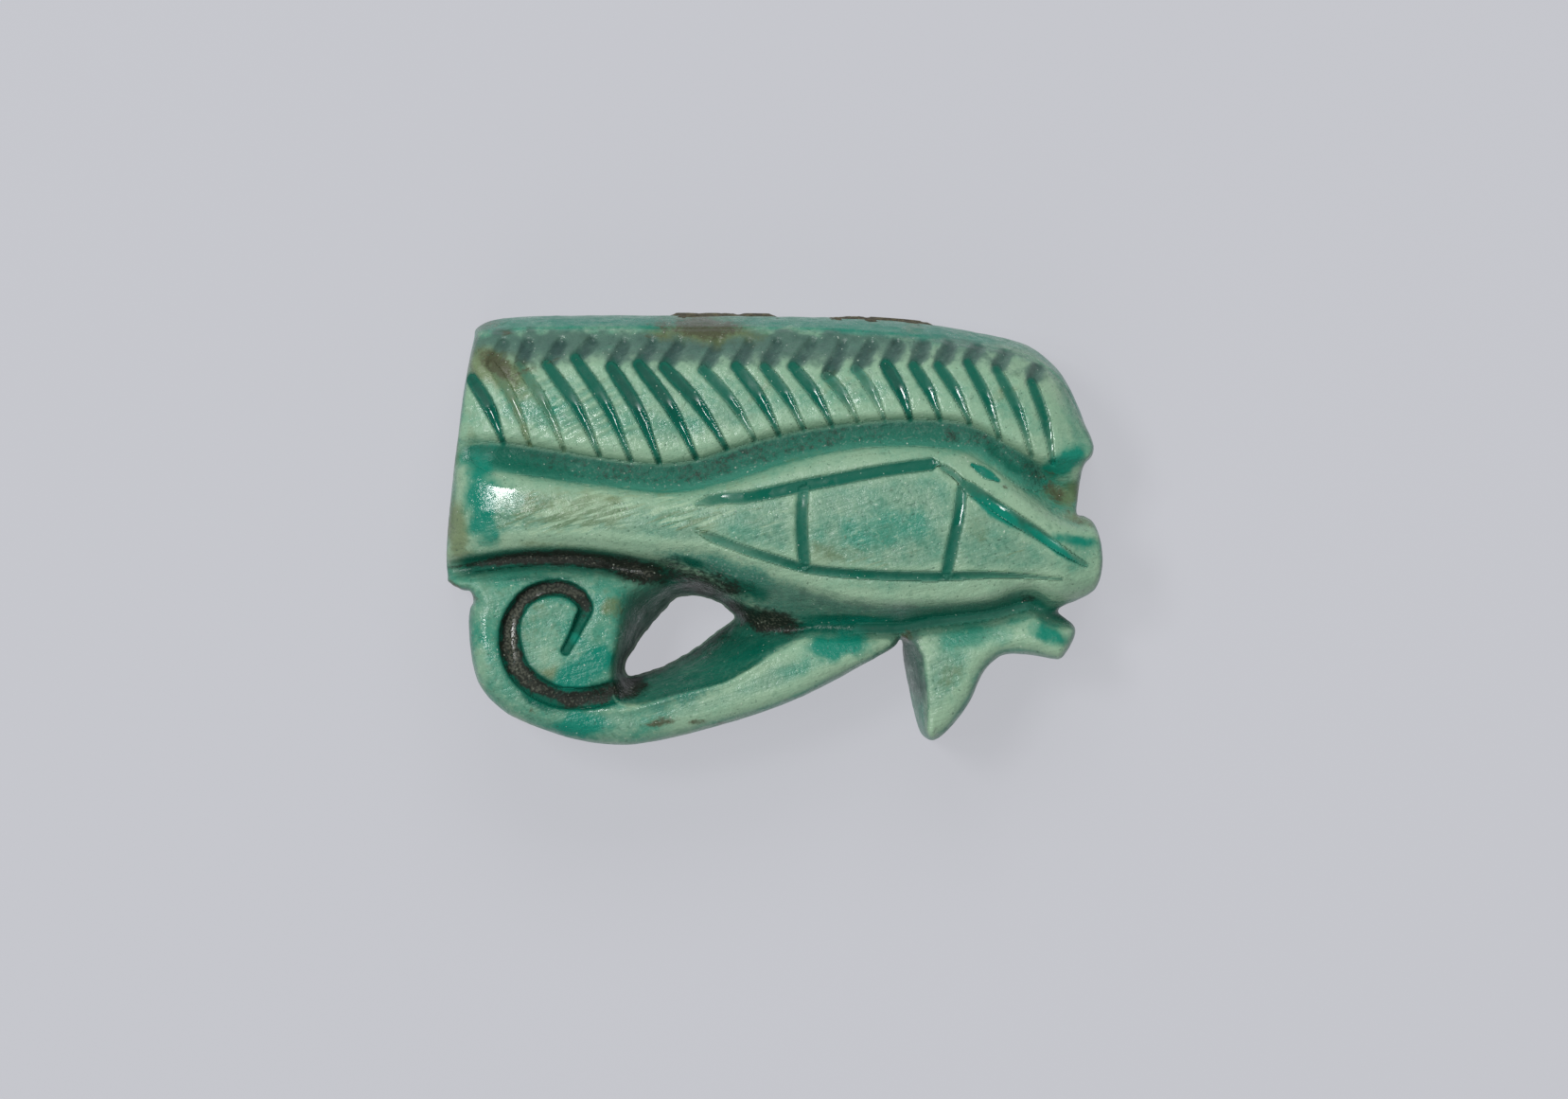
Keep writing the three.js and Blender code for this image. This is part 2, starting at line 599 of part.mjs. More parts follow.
// Burial crust on the long upper wall, lens shaped along its run.
function wallCrust(fromShare, toShare, lowShare, highShare) {
  const from = place([fromShare, 0]).x;
  const to = place([toShare, 0]).x;
  const rings = [];
  for (let index = 0; index < outlineCount; index += 1) {
    const point = rim[index];
    if (point.x > from && point.x < to && point.y > WIDTH * 0.4) {
      const part = (point.x - from) / (to - from);
      const swell = 0.3 + 0.7 * Math.sin(Math.PI * part);
      const out = outwardWay(index);
      const low = wallPoint(index, lowShare * HEIGHT);
      const high = wallPoint(index, highShare * HEIGHT);
      const middle = low.clone().lerp(high, 0.5);
      rings.push([
        low.clone().addScaledVector(out, GAP),
        low.clone().addScaledVector(out, GAP + CRUST_THICKNESS * 0.3),
        middle.clone().addScaledVector(out, GAP + CRUST_THICKNESS * swell),
        high.clone().addScaledVector(out, GAP + CRUST_THICKNESS * 0.3),
        high.clone().addScaledVector(out, GAP),
      ]);
    }
  }
  return loft(rings);
}

// Turns a solid into a mesh with faceted shading.
const group = new THREE.Group();
group.name = "eye_stamp_seal";

function addPart(name, solid, color, roughness) {
  const result = solid.getMesh();
  const corners = [];
  for (const vertex of result.triVerts) {
    const start = vertex * result.numProp;
    corners.push(...result.vertProperties.slice(start, start + 3));
  }
  const geometry = new THREE.BufferGeometry();
  geometry.setAttribute("position", new THREE.Float32BufferAttribute(corners, 3));
  geometry.computeVertexNormals();
  const material = new THREE.MeshStandardMaterial({ color, roughness, metalness: 0 });
  material.name = `${name}_material`;
  const mesh = new THREE.Mesh(geometry, material);
  mesh.name = name;
  group.add(mesh);
}

const STONE_COLOR = "#93b99c";
const GLAZE_COLOR = "#0e6453";
const DARK_GLAZE_COLOR = "#2c4a42";
const CRUST_COLOR = "#66573e";

addPart("carved_body", body, STONE_COLOR, 0.55);
addPart("brow_channel_glaze", channelGlaze(0.05, 0.92, browChannelSection), GLAZE_COLOR, 0.3);
addPart("eye_line_glaze", Manifold.union(
  eyePaths.map((path) => glazeIn(path, LINE_WIDTH, LINE_DEPTH)),
), GLAZE_COLOR, 0.15);
addPart("lid_nick_glaze", glazeIn(nickPath, NICK_WIDTH, NICK_DEPTH), GLAZE_COLOR, 0.15);
addPart("lower_channel_glaze", channelGlaze(0.6, 0.9, lowChannelSection), GLAZE_COLOR, 0.25);
addPart("volute_arc_glaze", channelGlaze(0.04, 0.25, lowChannelSection), DARK_GLAZE_COLOR, 0.3);
addPart("spiral_glaze", glazeIn(spiralPath, SPIRAL_WIDTH, SPIRAL_DEPTH), DARK_GLAZE_COLOR, 0.2);
strokePaths.forEach((path, index) => {
  const name = `brow_stroke_glaze_${String(index + 1).padStart(2, "0")}`;
  const inside = stretch(path, -STROKE_WIDTH, -STROKE_WIDTH);
  addPart(name, sweep(inside, glazeSection(STROKE_WIDTH, STROKE_DEPTH)), GLAZE_COLOR, 0.15);
});
addPart("edge_crust_middle", wallCrust(0.32, 0.46, 0.5, 0.72), CRUST_COLOR, 0.9);
addPart("edge_crust_right", wallCrust(0.54, 0.74, 0.45, 0.6), CRUST_COLOR, 0.9);

export default group;
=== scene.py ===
"""Openwork eye stamp seal: carved stone, pooled glaze and burial crust, laid on a plain floor."""

import math

import bpy
import numpy as np
from bpy.props import FloatProperty, FloatVectorProperty, IntProperty, PointerProperty
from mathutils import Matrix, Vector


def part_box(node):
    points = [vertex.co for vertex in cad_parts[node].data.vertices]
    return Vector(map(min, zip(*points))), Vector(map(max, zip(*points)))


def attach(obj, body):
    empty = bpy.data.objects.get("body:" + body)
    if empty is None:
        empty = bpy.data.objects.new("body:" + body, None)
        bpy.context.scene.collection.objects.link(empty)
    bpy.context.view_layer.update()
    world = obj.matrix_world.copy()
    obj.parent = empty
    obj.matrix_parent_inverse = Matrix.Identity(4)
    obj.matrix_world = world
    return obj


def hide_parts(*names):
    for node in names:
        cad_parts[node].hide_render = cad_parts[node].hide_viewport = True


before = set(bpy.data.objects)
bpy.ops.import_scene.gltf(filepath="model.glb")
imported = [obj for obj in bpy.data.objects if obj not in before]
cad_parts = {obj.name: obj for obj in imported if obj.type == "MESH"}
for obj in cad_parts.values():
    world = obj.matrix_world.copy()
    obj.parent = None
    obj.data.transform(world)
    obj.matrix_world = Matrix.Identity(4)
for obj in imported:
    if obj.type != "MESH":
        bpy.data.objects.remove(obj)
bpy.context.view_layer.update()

bl_info = {
    "name": "Eye Stamp Seal",
    "version": (1, 0, 0),
    "blender": (4, 5, 0),
    "location": "View3D > Sidebar > Seal",
    "description": "Carves a small glazed eye seal and lays it on a studio floor",
    "category": "Add Mesh",
}

# The script works in millimetres and turns its finished meshes to metres.
METRE = 0.001

# The seal's own sizes come from the frame.
BODY_LOW, BODY_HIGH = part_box("carved_body")
LENGTH = round((BODY_HIGH.x - BODY_LOW.x) / METRE, 1)
WIDTH = round((BODY_HIGH.y - BODY_LOW.y) / METRE, 1)
HEIGHT = round((BODY_HIGH.z - BODY_LOW.z) / METRE, 1)


# The tables are written in thousandths: of the seal's length, width or height, or of one.
def thousandths(rows):
    """Turns the whole numbers of a table to shares."""
    return [tuple(value / 1000 for value in row) for row in rows]


# Outline seen from above: length share, width share, and share of the wall's lean.
OUTLINE = thousandths([
    (41, 945, 300), (44, 969, 600), (70, 989, 1000), (128, 998, 1000), (243, 1000, 1000),
    (416, 999, 1000), (560, 996, 1000), (661, 989, 1000), (740, 978, 1000), (811, 960, 1000),
    (860, 944, 900), (894, 924, 800), (923, 890, 600), (946, 846, 400), (964, 787, 250),
    (975, 741, 150), (984, 710, 100), (987, 688, 100), (983, 669, 100), (972, 648, 100),
    (966, 609, 100), (962, 565, 100), (962, 536, 100), (972, 532, 100), (985, 519, 100),
    (995, 488, 100), (1000, 448, 100), (999, 404, 100), (992, 369, 100), (982, 352, 100),
    (961, 335, 100), (938, 321, 100), (933, 308, 100), (945, 293, 100), (956, 279, 100),
    (959, 262, 100), (952, 233, 100), (938, 202, 100), (923, 200, 100), (889, 209, 100),
    (854, 210, 100), (835, 195, 100), (817, 163, 100), (798, 101, 100), (773, 48, 100),
    (750, 15, 100), (736, 11, 200), (723, 31, 400), (713, 84, 800), (703, 156, 1000),
    (697, 213, 1000), (697, 235, 500), (692, 245, 100), (680, 224, 100), (639, 189, 100),
    (590, 148, 100), (531, 104, 100), (459, 64, 100), (375, 28, 100), (315, 7, 100), (265, 0, 100),
    (204, 10, 100), (138, 41, 100), (86, 80, 100), (54, 131, 100), (39, 198, 100), (34, 279, 100),
    (36, 317, 100), (41, 333, 100), (36, 356, 100), (21, 363, 100), (6, 373, 100), (0, 424, 100),
    (2, 499, 100), (10, 624, 100), (18, 727, 100), (28, 840, 150), (36, 905, 200),
])
NECK = thousandths([
    (442, 297), (433, 279), (409, 253), (376, 215), (330, 176), (301, 162), (281, 154), (270, 163),
    (269, 191), (281, 224), (296, 259), (327, 313), (347, 343), (373, 351), (404, 343), (428, 321),
])
MOUTH = thousandths([
    (563, 275), (531, 233), (497, 209), (464, 174), (423, 143), (376, 125), (331, 108), (289, 92),
    (257, 108), (256, 165), (260, 213), (261, 268), (259, 323), (270, 367), (315, 390), (366, 385),
    (423, 352), (481, 314), (531, 290),
])

# Lines that run the seal's length: length share and width share.
LEDGE = thousandths([
    (0, 951), (300, 952), (600, 949), (740, 951), (811, 940), (860, 924), (900, 898), (930, 860),
    (955, 800), (975, 760), (1000, 740),
])
BROW_EDGE = thousandths([
    (0, 692), (41, 703), (85, 705), (135, 696), (185, 684), (243, 669), (301, 659), (337, 657),
    (380, 667), (423, 687), (474, 711), (531, 731), (589, 745), (647, 754), (704, 759), (762, 758),
    (798, 746), (834, 719), (870, 689), (906, 662), (942, 655), (1000, 666),
])
LID_EDGE = thousandths([
    (0, 657), (41, 648), (99, 631), (157, 615), (229, 601), (279, 591), (330, 584), (380, 589),
    (430, 607), (474, 627), (531, 654), (589, 674), (647, 686), (704, 689), (762, 680), (791, 667),
    (827, 635), (863, 598), (891, 565), (923, 532), (956, 512), (1000, 503),
])
LID_FRONT = thousandths([
    (0, 429), (41, 437), (113, 452), (185, 456), (243, 453), (330, 438), (384, 430), (428, 413),
    (474, 398), (531, 380), (582, 358), (625, 341), (700, 334), (791, 337), (834, 346), (863, 364),
    (891, 368), (928, 354), (1000, 349),
])
LOW_CHANNEL = thousandths([
    (0, 411), (41, 419), (113, 433), (185, 435), (243, 426), (301, 407), (358, 378), (416, 332),
    (459, 297), (510, 279), (563, 277), (634, 275), (690, 276), (733, 290), (791, 300), (834, 310),
    (891, 331), (915, 310), (935, 299), (1000, 288),
])

# Heights along the length: length share and height share.
BROW_HEIGHT = thousandths([
    (0, 800), (40, 860), (100, 900), (300, 930), (600, 930), (850, 910), (950, 850), (1000, 780),
])
EYE_HEIGHT = thousandths([
    (0, 820), (30, 866), (55, 898), (85, 917), (118, 936), (160, 950), (300, 960), (600, 970),
    (800, 960), (920, 920), (1000, 830),
])
# Single heights, and the depth of the brow channel, as shares of the height.
LEDGE_HEIGHT = 0.74
CHANNEL_FLOOR = 0.15
LOW_FLOOR = 0.66
LOW_TOP = 0.79
LOW_EDGE = 0.75
NECK_HEIGHT = 0.3

# Cut lines, as length share and width share.
EYE_TOP = thousandths([
    (383, 560), (416, 571), (459, 575), (502, 587), (543, 601), (589, 614), (647, 631), (697, 643),
    (747, 653),
])
EYE_CORNER = thousandths([
    (747, 651), (768, 631), (785, 609), (827, 563), (863, 526), (900, 490), (935, 453), (958, 431),
    (972, 418),
])
EYE_LOW = thousandths([
    (383, 496), (416, 475), (459, 451), (502, 431), (546, 411), (596, 401), (654, 395), (711, 392),
    (762, 392), (819, 395), (877, 392), (935, 385),
])
IRIS_LEFT = thousandths([(544, 602), (541, 510), (546, 411)])
IRIS_RIGHT = thousandths([(785, 604), (779, 532), (769, 462), (760, 393)])
LID_NICK = thousandths([(800, 649), (819, 632), (839, 613)])
SPIRAL = thousandths([
    (288, 151), (265, 130), (226, 112), (193, 109), (164, 116), (134, 140), (111, 176), (100, 223),
    (98, 270), (108, 314), (127, 347), (155, 364), (183, 362), (203, 345), (213, 318), (206, 290),
    (196, 257), (183, 220),
])
# The sharp ridge where the tail's top meets the slope under the eye, pale from wear and from a
# highlight painted along it.
TAIL_RIDGE = thousandths([(210, 83.5), (280, 83), (351, 112), (426, 146), (458, 172), (510, 218)])
# Lines round the eye: curve, share of the full width, how soon its start and its end thin, and
# its darkness.
EYE_LINES = (
    (EYE_TOP, 1.0, 0.06, 0.02, 0.8), (EYE_CORNER, 1.05, 0.05, 0.4, 0.6),
    (EYE_LOW, 0.8, 0.05, 0.35, 0.66), (IRIS_LEFT, 1.0, 0.01, 0.01, 0.7),
    (IRIS_RIGHT, 0.95, 0.01, 0.01, 0.7),
)
# Pools of the channel under the lid: piece, from and to in length share, and rise in mm.
LOW_POOLS = (("lower_channel_glaze", 0.59, 0.92, 0.02), ("volute_arc_glaze", 0.02, 0.27, 0.05))

# Herringbone: top, bend and foot of a stroke, how deep its glaze is and how olive.
STROKES = thousandths([
    (30, 880, 41, 848, 88, 703, 950, 0), (94, 944, 72, 880, 128, 700, 250, 800),
    (131, 944, 113, 880, 180, 688, 350, 600), (183, 944, 155, 881, 234, 675, 700, 400),
    (232, 944, 198, 895, 281, 664, 800, 0), (278, 944, 253, 875, 324, 660, 1000, 0),
    (321, 944, 294, 881, 380, 669, 1000, 0), (364, 944, 333, 875, 426, 690, 950, 0),
    (423, 944, 393, 870, 469, 711, 600, 100), (468, 944, 442, 877, 506, 722, 800, 0),
    (511, 944, 485, 875, 543, 735, 650, 100), (566, 944, 528, 877, 586, 744, 750, 0),
    (611, 944, 580, 856, 626, 750, 450, 300), (655, 944, 624, 872, 666, 756, 400, 200),
    (693, 944, 669, 880, 705, 759, 1000, 0), (734, 944, 711, 878, 750, 758, 750, 0),
    (773, 940, 748, 879, 795, 748, 650, 0), (815, 934, 793, 885, 840, 714, 650, 0),
    (856, 920, 837, 870, 889, 675, 550, 200), (904, 885, 890, 841, 921, 659, 600, 0),
])

# Marks of the stamp face. In mm: half width of a line, radius of a ring and a dot, and depth.
FACE_LINE, RING_RADIUS, DOT_RADIUS, FACE_DEPTH = 0.14, 0.62, 0.18, 0.25
FACE_RINGS = thousandths([(200, 620), (400, 720), (600, 720), (800, 620)])
FACE_BORDER = thousandths([
    (110, 860), (300, 900), (550, 900), (780, 870), (890, 780), (900, 640), (820, 480), (680, 500),
    (500, 560), (320, 500), (160, 460), (80, 540), (70, 700),
])

# Colour marks: length and width share in thousandths, half length and half width in hundredths
# of a mm, turn in degrees, and strength in hundredths.
MARKS = {
    "turquoise": [
        (330, 980, 392, 21, 0, 75), (690, 960, 346, 21, -4, 65), (211, 176, 85, 39, 38, 160),
        (206, 46, 76, 35, 3, 150), (599, 231, 88, 41, 5, 105), (831, 543, 69, 12, -36, 130),
        (915, 470, 88, 12, -36, 120), (955, 736, 69, 16, -62, 50), (943, 655, 74, 35, 32, 100),
        (56, 576, 129, 46, 95, 100), (70, 697, 46, 23, -10, 40), (85, 499, 60, 23, 20, 35),
        (955, 475, 60, 16, -8, 90), (848, 532, 120, 18, -36, 75), (819, 253, 115, 28, 0, 50),
        (917, 262, 69, 30, -15, 85), (203, 244, 14, 28, 60, 80), (870, 290, 41, 14, 15, 60),
        (625, 290, 115, 12, 3, 50), (38, 385, 28, 14, 0, 40),
    ],
    "teal": [
        (474, 587, 92, 16, 12, 50), (618, 679, 115, 16, 10, 40), (315, 587, 92, 23, -8, 40),
        (877, 411, 69, 23, 10, 45), (690, 371, 277, 18, 0, 65), (99, 235, 92, 115, 0, 35),
        (171, 349, 152, 30, 4, 100), (99, 103, 115, 46, -30, 30), (41, 279, 32, 115, 0, 60),
        (387, 59, 138, 37, 20, 45), (661, 213, 92, 32, 20, 50), (128, 978, 207, 28, 0, 90),
        (618, 969, 277, 28, -3, 80), (776, 934, 138, 32, -12, 60), (661, 499, 143, 55, 8, 90),
        (805, 248, 143, 39, 0, 70), (912, 262, 78, 41, -15, 70), (142, 402, 184, 28, 3, 90),
        (560, 191, 127, 37, 20, 60), (430, 499, 138, 37, -12, 50), (255, 301, 32, 101, 100, 60),
        (185, 301, 69, 46, 0, 30), (265, 191, 28, 92, -25, 90), (762, 587, 101, 37, -30, 60),
        (863, 675, 78, 28, -30, 60), (358, 525, 106, 32, 10, 60), (128, 631, 115, 28, 0, 70),
        (848, 433, 138, 23, -5, 35), (214, 66, 138, 23, 0, 60), (546, 587, 92, 23, 10, 50),
        (949, 411, 55, 37, -30, 40), (70, 411, 60, 28, 0, 80), (906, 785, 60, 69, 120, 50),
        (502, 653, 277, 14, 14, 35),
    ],
    "olive": [
        (390, 969, 124, 41, -4, 135), (18, 499, 78, 30, 95, 110), (13, 697, 92, 16, 98, 60),
        (82, 868, 97, 46, -22, 120), (259, 567, 28, 14, -20, 90), (334, 411, 51, 16, 10, 70),
        (157, 165, 35, 25, 10, 80), (252, 323, 30, 25, 0, 130), (711, 965, 28, 12, 0, 100),
        (768, 156, 46, 32, 60, 55), (164, 462, 148, 14, -4, 50), (27, 442, 37, 14, 0, 80),
        (961, 525, 46, 14, -15, 80), (482, 824, 28, 46, 130, 50), (135, 560, 161, 37, 5, 50),
        (589, 833, 23, 51, 120, 40), (848, 818, 28, 51, 120, 40), (330, 103, 115, 23, 14, 35),
        (128, 290, 69, 23, 60, 40), (589, 444, 101, 28, 0, 50), (805, 499, 41, 41, 0, 40),
        (430, 604, 69, 14, 12, 30), (946, 582, 30, 55, 95, 110), (41, 697, 60, 18, 95, 50),
    ],
    "brown": [
        (390, 971, 106, 35, -4, 145), (49, 971, 74, 21, 15, 75), (93, 954, 14, 9, 0, 100),
        (928, 582, 32, 39, 20, 100), (325, 53, 51, 14, 10, 110), (384, 55, 28, 9, 0, 100),
        (419, 51, 16, 7, 0, 90), (605, 479, 14, 9, 0, 60), (671, 475, 18, 12, 0, 70),
        (709, 448, 14, 9, 0, 50), (677, 589, 8, 8, 0, 100), (618, 521, 7, 7, 0, 100),
        (132, 80, 14, 12, 0, 85), (118, 864, 37, 9, 20, 90), (168, 892, 37, 7, 22, 70),
        (10, 371, 32, 12, -22, 100), (701, 253, 18, 18, 0, 100), (85, 877, 65, 30, -35, 115),
        (912, 624, 32, 16, 0, 70), (964, 516, 37, 12, -15, 70), (330, 415, 18, 9, 0, 50),
        (946, 543, 7, 9, 0, 100), (850, 598, 9, 7, 0, 100), (315, 947, 32, 7, 0, 80),
    ],
    "soot": [
        (394, 976, 92, 28, -4, 60), (278, 209, 18, 65, -28, 45), (321, 319, 30, 69, -38, 30),
        (384, 387, 129, 37, -12, 62), (394, 367, 106, 28, -4, 75), (442, 319, 41, 18, -32, 80),
        (295, 404, 88, 30, -14, 100), (384, 371, 97, 21, -16, 55), (491, 286, 78, 32, -8, 100),
        (889, 341, 28, 12, 0, 50), (275, 132, 65, 23, 8, 85), (37, 347, 32, 14, -30, 50),
    ],
    "dusk": [
        (430, 402, 152, 35, -13, 100), (380, 143, 148, 39, 24, 100), (474, 213, 115, 28, 30, 90),
        (315, 279, 37, 120, 60, 75), (315, 323, 46, 69, 0, 60), (243, 99, 92, 16, 5, 60),
    ],
    "worn": [
        (160, 209, 51, 65, 0, 65), (53, 191, 23, 74, 0, 70), (106, 48, 69, 32, -30, 60),
        (315, 26, 138, 18, 10, 50), (923, 741, 41, 97, 0, 90), (913, 389, 69, 32, 0, 50),
    ],
    "deep": [
        (845, 670, 85, 20, -38, 75), (135, 388, 150, 12, 2, 50), (139, 99, 60, 14, -30, 80),
        (459, 213, 92, 28, 27, 65), (370, 154, 92, 18, 24, 60), (377, 422, 37, 14, -20, 80),
        (459, 363, 74, 21, -20, 70), (618, 290, 129, 14, -2, 95),
    ],
    "gloss": [
        (85, 596, 55, 69, 0, 105), (100, 244, 12, 55, 0, 100), (232, 253, 16, 51, -15, 100),
        (67, 262, 18, 51, 0, 90), (149, 343, 23, 12, 0, 100), (234, 123, 18, 9, 0, 100),
        (844, 541, 46, 12, -36, 110), (933, 486, 18, 12, 0, 110), (85, 596, 65, 88, 0, 82),
        (70, 275, 32, 51, 0, 70), (942, 481, 78, 37, -20, 60), (848, 543, 115, 28, -38, 60),
        (920, 741, 69, 69, 0, 60), (229, 81, 69, 18, 5, 60), (214, 749, 277, 69, -8, 50),
        (618, 807, 346, 60, -6, 35),
    ],
    "score": [
        (214, 543, 300, 83, 4, 115), (358, 532, 184, 69, -6, 105), (488, 532, 138, 69, 0, 80),
        (661, 433, 207, 37, 4, 80), (848, 455, 115, 55, 0, 80), (560, 686, 207, 32, 14, 90),
        (330, 70, 207, 32, 14, 70),
    ],
    "slate": [
        (716, 180, 101, 21, 97, 75), (707, 213, 60, 18, 95, 70),
    ],
}
# The broken left corner under the brow, where the outline is more jagged.
BROKEN_CORNER = [(20, 370, 55, 30, -15, 100)]
# The outer side of the spiral's foot, where the soot came off the deep glaze.
SPIRAL_BARE = [(152, 107, 45, 10, -20, 100)]
# A pool reaches this many times the half width of its cut.
LIP = 1.15


def linear(code):
    """Turns an sRGB hex colour to linear red, green, blue and alpha."""
    parts = [int(code[i : i + 2], 16) / 255 for i in (0, 2, 4)]
    return [p / 12.92 if p <= 0.04045 else ((p + 0.055) / 1.055) ** 2.4 for p in parts] + [1.0]


def length_value(name, description, mm):
    """A length that a user may change, given here in mm."""
    return FloatProperty(
        name=name, description=description, default=mm * METRE, min=0.0, precision=5, unit="LENGTH"
    )


def finish_colour(name, description, code):
    """A colour that a user may change, given here as sRGB hex."""
    settings = {"subtype": "COLOR", "size": 4, "min": 0.0, "max": 1.0, "default": linear(code)}
    return FloatVectorProperty(name=name, description=description, **settings)


class SealSizes(bpy.types.PropertyGroup):
    """Sizes of the carving that a user may want to change."""

    wall_lean: length_value("Wall lean", "How far the long upper wall leans in", 0.5)
    bevel_width: length_value("Bevel width", "Width of the bevel above the brow", 0.74)
    bore_radius: length_value("Bore radius", "Radius of the hole along the length", 0.62)
    stroke_width: length_value("Stroke width", "Width of a herringbone stroke", 0.25)
    line_width: length_value("Eye line width", "Width of the lines round the eye", 0.29)
    spiral_width: length_value("Spiral width", "Width of the volute's groove", 0.42)
    grain: length_value("Mesh grain", "Spacing of the carved mesh", 0.06)
    faces: IntProperty(
        name="Face limit", description="Most triangles in the carved mesh", default=190000, min=1000
    )

    def mm(self, name):
        """One of the lengths in mm, in the single precision that Blender keeps."""
        return float(np.float32(round(getattr(self, name) / METRE, 4)))


class SealColours(bpy.types.PropertyGroup):
    """Colours of the finishes."""

    pale: finish_colour("Worn glaze", "Thin glaze over the high faces", "7ba289")
    teal: finish_colour("Glaze", "Glaze of middle thickness", "3d8e77")
    deep: finish_colour("Deep glaze", "Glaze pooled in the cuts", "005f4c")
    crust: finish_colour("Crust", "Brown stains of the burial crust", "4d503a")


# Map of the seal seen from above, on which every height and mask is worked out.
MAP_STEP = 0.03
MAP_MARGIN = 0.7
MAP_X = np.arange(-LENGTH / 2 - MAP_MARGIN, LENGTH / 2 + MAP_MARGIN, MAP_STEP)
MAP_Y = np.arange(-WIDTH / 2 - MAP_MARGIN, WIDTH / 2 + MAP_MARGIN, MAP_STEP)
GRID_X, GRID_Y = np.meshgrid(MAP_X, MAP_Y, indexing="ij")
# Length share of the map's columns, and length and width share of its points.
COLUMN_U = MAP_X / LENGTH + 0.5
GRID_U, GRID_V = GRID_X / LENGTH + 0.5, GRID_Y / WIDTH + 0.5
# Distances are worked out up to this many mm, farther than any form needs.
FAR = 9.0


def place(share):
    """Turns length and width shares to millimetres from the middle of the seal."""
    return ((share[0] - 0.5) * LENGTH, (share[1] - 0.5) * WIDTH)


def ease(low, high, value):
    """Runs smoothly from 0 at low to 1 at high."""
    part = np.clip((value - low) / (high - low), 0.0, 1.0)
    return part * part * (3 - 2 * part)


def fall(low, high, value):
    """Runs smoothly from 1 at low to 0 at high."""
    return 1 - ease(low, high, value)


def smooth_run(points, closed=False, steps=6):
    """Threads a smooth curve through points and returns the denser run."""
    spots = np.array(points, float)
    count = len(spots)
    run = []
    for index in range(count if closed else count - 1):
        around = index + np.arange(-1, 3)
        around = around % count if closed else np.clip(around, 0, count - 1)
        before, start, end, after = spots[around]
        for t in np.arange(steps) / steps:
            run.append(
                0.5
                * (
                    2 * start
                    + (end - before) * t
                    + (2 * before - 5 * start + 4 * end - after) * t * t
                    + (3 * start - before - 3 * end + after) * t * t * t
                )
            )
    run.append(run[0] if closed else spots[-1])
    return np.array(run)


def along(table, shares):
    """Reads a table of pairs at many length shares."""
    run = smooth_run(table)
    return np.interp(shares, run[:, 0], run[:, 1])


def measure_line(points, reach=FAR):
    """Distance to a line of points, the place along it from 0 to 1, and the side, on the map."""
    spots = np.array(points, float)[:, :2]
    distance = np.full(GRID_X.shape, FAR**2)
    place_along = np.zeros(GRID_X.shape)
    side = np.ones(GRID_X.shape)
    steps = np.hypot(*(spots[1:] - spots[:-1]).T)
    start = np.concatenate([[0.0], np.cumsum(steps)])
    for index in range(len(spots) - 1):
        (ax, ay), (bx, by) = spots[index], spots[index + 1]
        if steps[index] == 0:
            continue
        columns = slice(*np.searchsorted(MAP_X, [min(ax, bx) - reach, max(ax, bx) + reach]))
        rows = slice(*np.searchsorted(MAP_Y, [min(ay, by) - reach, max(ay, by) + reach]))
        window = (columns, rows)
        wide, tall = bx - ax, by - ay
        from_x, from_y = GRID_X[window] - ax, GRID_Y[window] - ay
        part = np.clip((from_x * wide + from_y * tall) / steps[index] ** 2, 0, 1)
        off_x, off_y = from_x - part * wide, from_y - part * tall
        square = off_x**2 + off_y**2
        nearer = square < distance[window]
        distance[window] = np.where(nearer, square, distance[window])
        here = start[index] + part * steps[index]
        place_along[window] = np.where(nearer, here, place_along[window])
        turn = np.sign(wide * off_y - tall * off_x)
        side[window] = np.where(nearer, turn, side[window])
    return np.sqrt(distance), place_along / start[-1], side


def measure_shares(shares, reach):
    """Measures from a smooth curve through points that are given as shares."""
    return measure_line(smooth_run([place(s) for s in shares]), reach)


def inside_loop(points):
    """True where the map lies inside a closed run of points."""
    within = np.zeros(GRID_X.shape, bool)
    for (ax, ay), (bx, by) in zip(points[:-1], points[1:]):
        if ay == by:
            continue
        crosses = (ay > GRID_Y) != (by > GRID_Y)
        within ^= crosses & (GRID_X < (bx - ax) * (GRID_Y - ay) / (by - ay) + ax)
    return within


def signed_loop(shares):
    """Distance to a closed outline, negative inside, with the place along it."""
    run = smooth_run([place(s) for s in shares], closed=True)
    distance, place_along, _ = measure_line(run)
    return np.where(inside_loop(run), -distance, distance), place_along


def blur(field, radius):
    """Softens a map with a bell of the given radius in mm."""
    reach = max(int(round(radius * 2.5 / MAP_STEP)), 1)
    offsets = np.arange(-reach, reach + 1)
    weights = np.exp(-0.5 * (offsets * MAP_STEP / radius) ** 2)
    weights /= weights.sum()
    for _ in range(2):
        count = len(field)
        padded = np.pad(field, ((reach, reach), (0, 0)), "edge")
        field = sum(w * padded[k : k + count] for k, w in enumerate(weights)).T
    return field


NOISE_CELLS = 48
NOISE_TABLE = np.random.default_rng(7).random((NOISE_CELLS,) * 3).astype(np.float32)


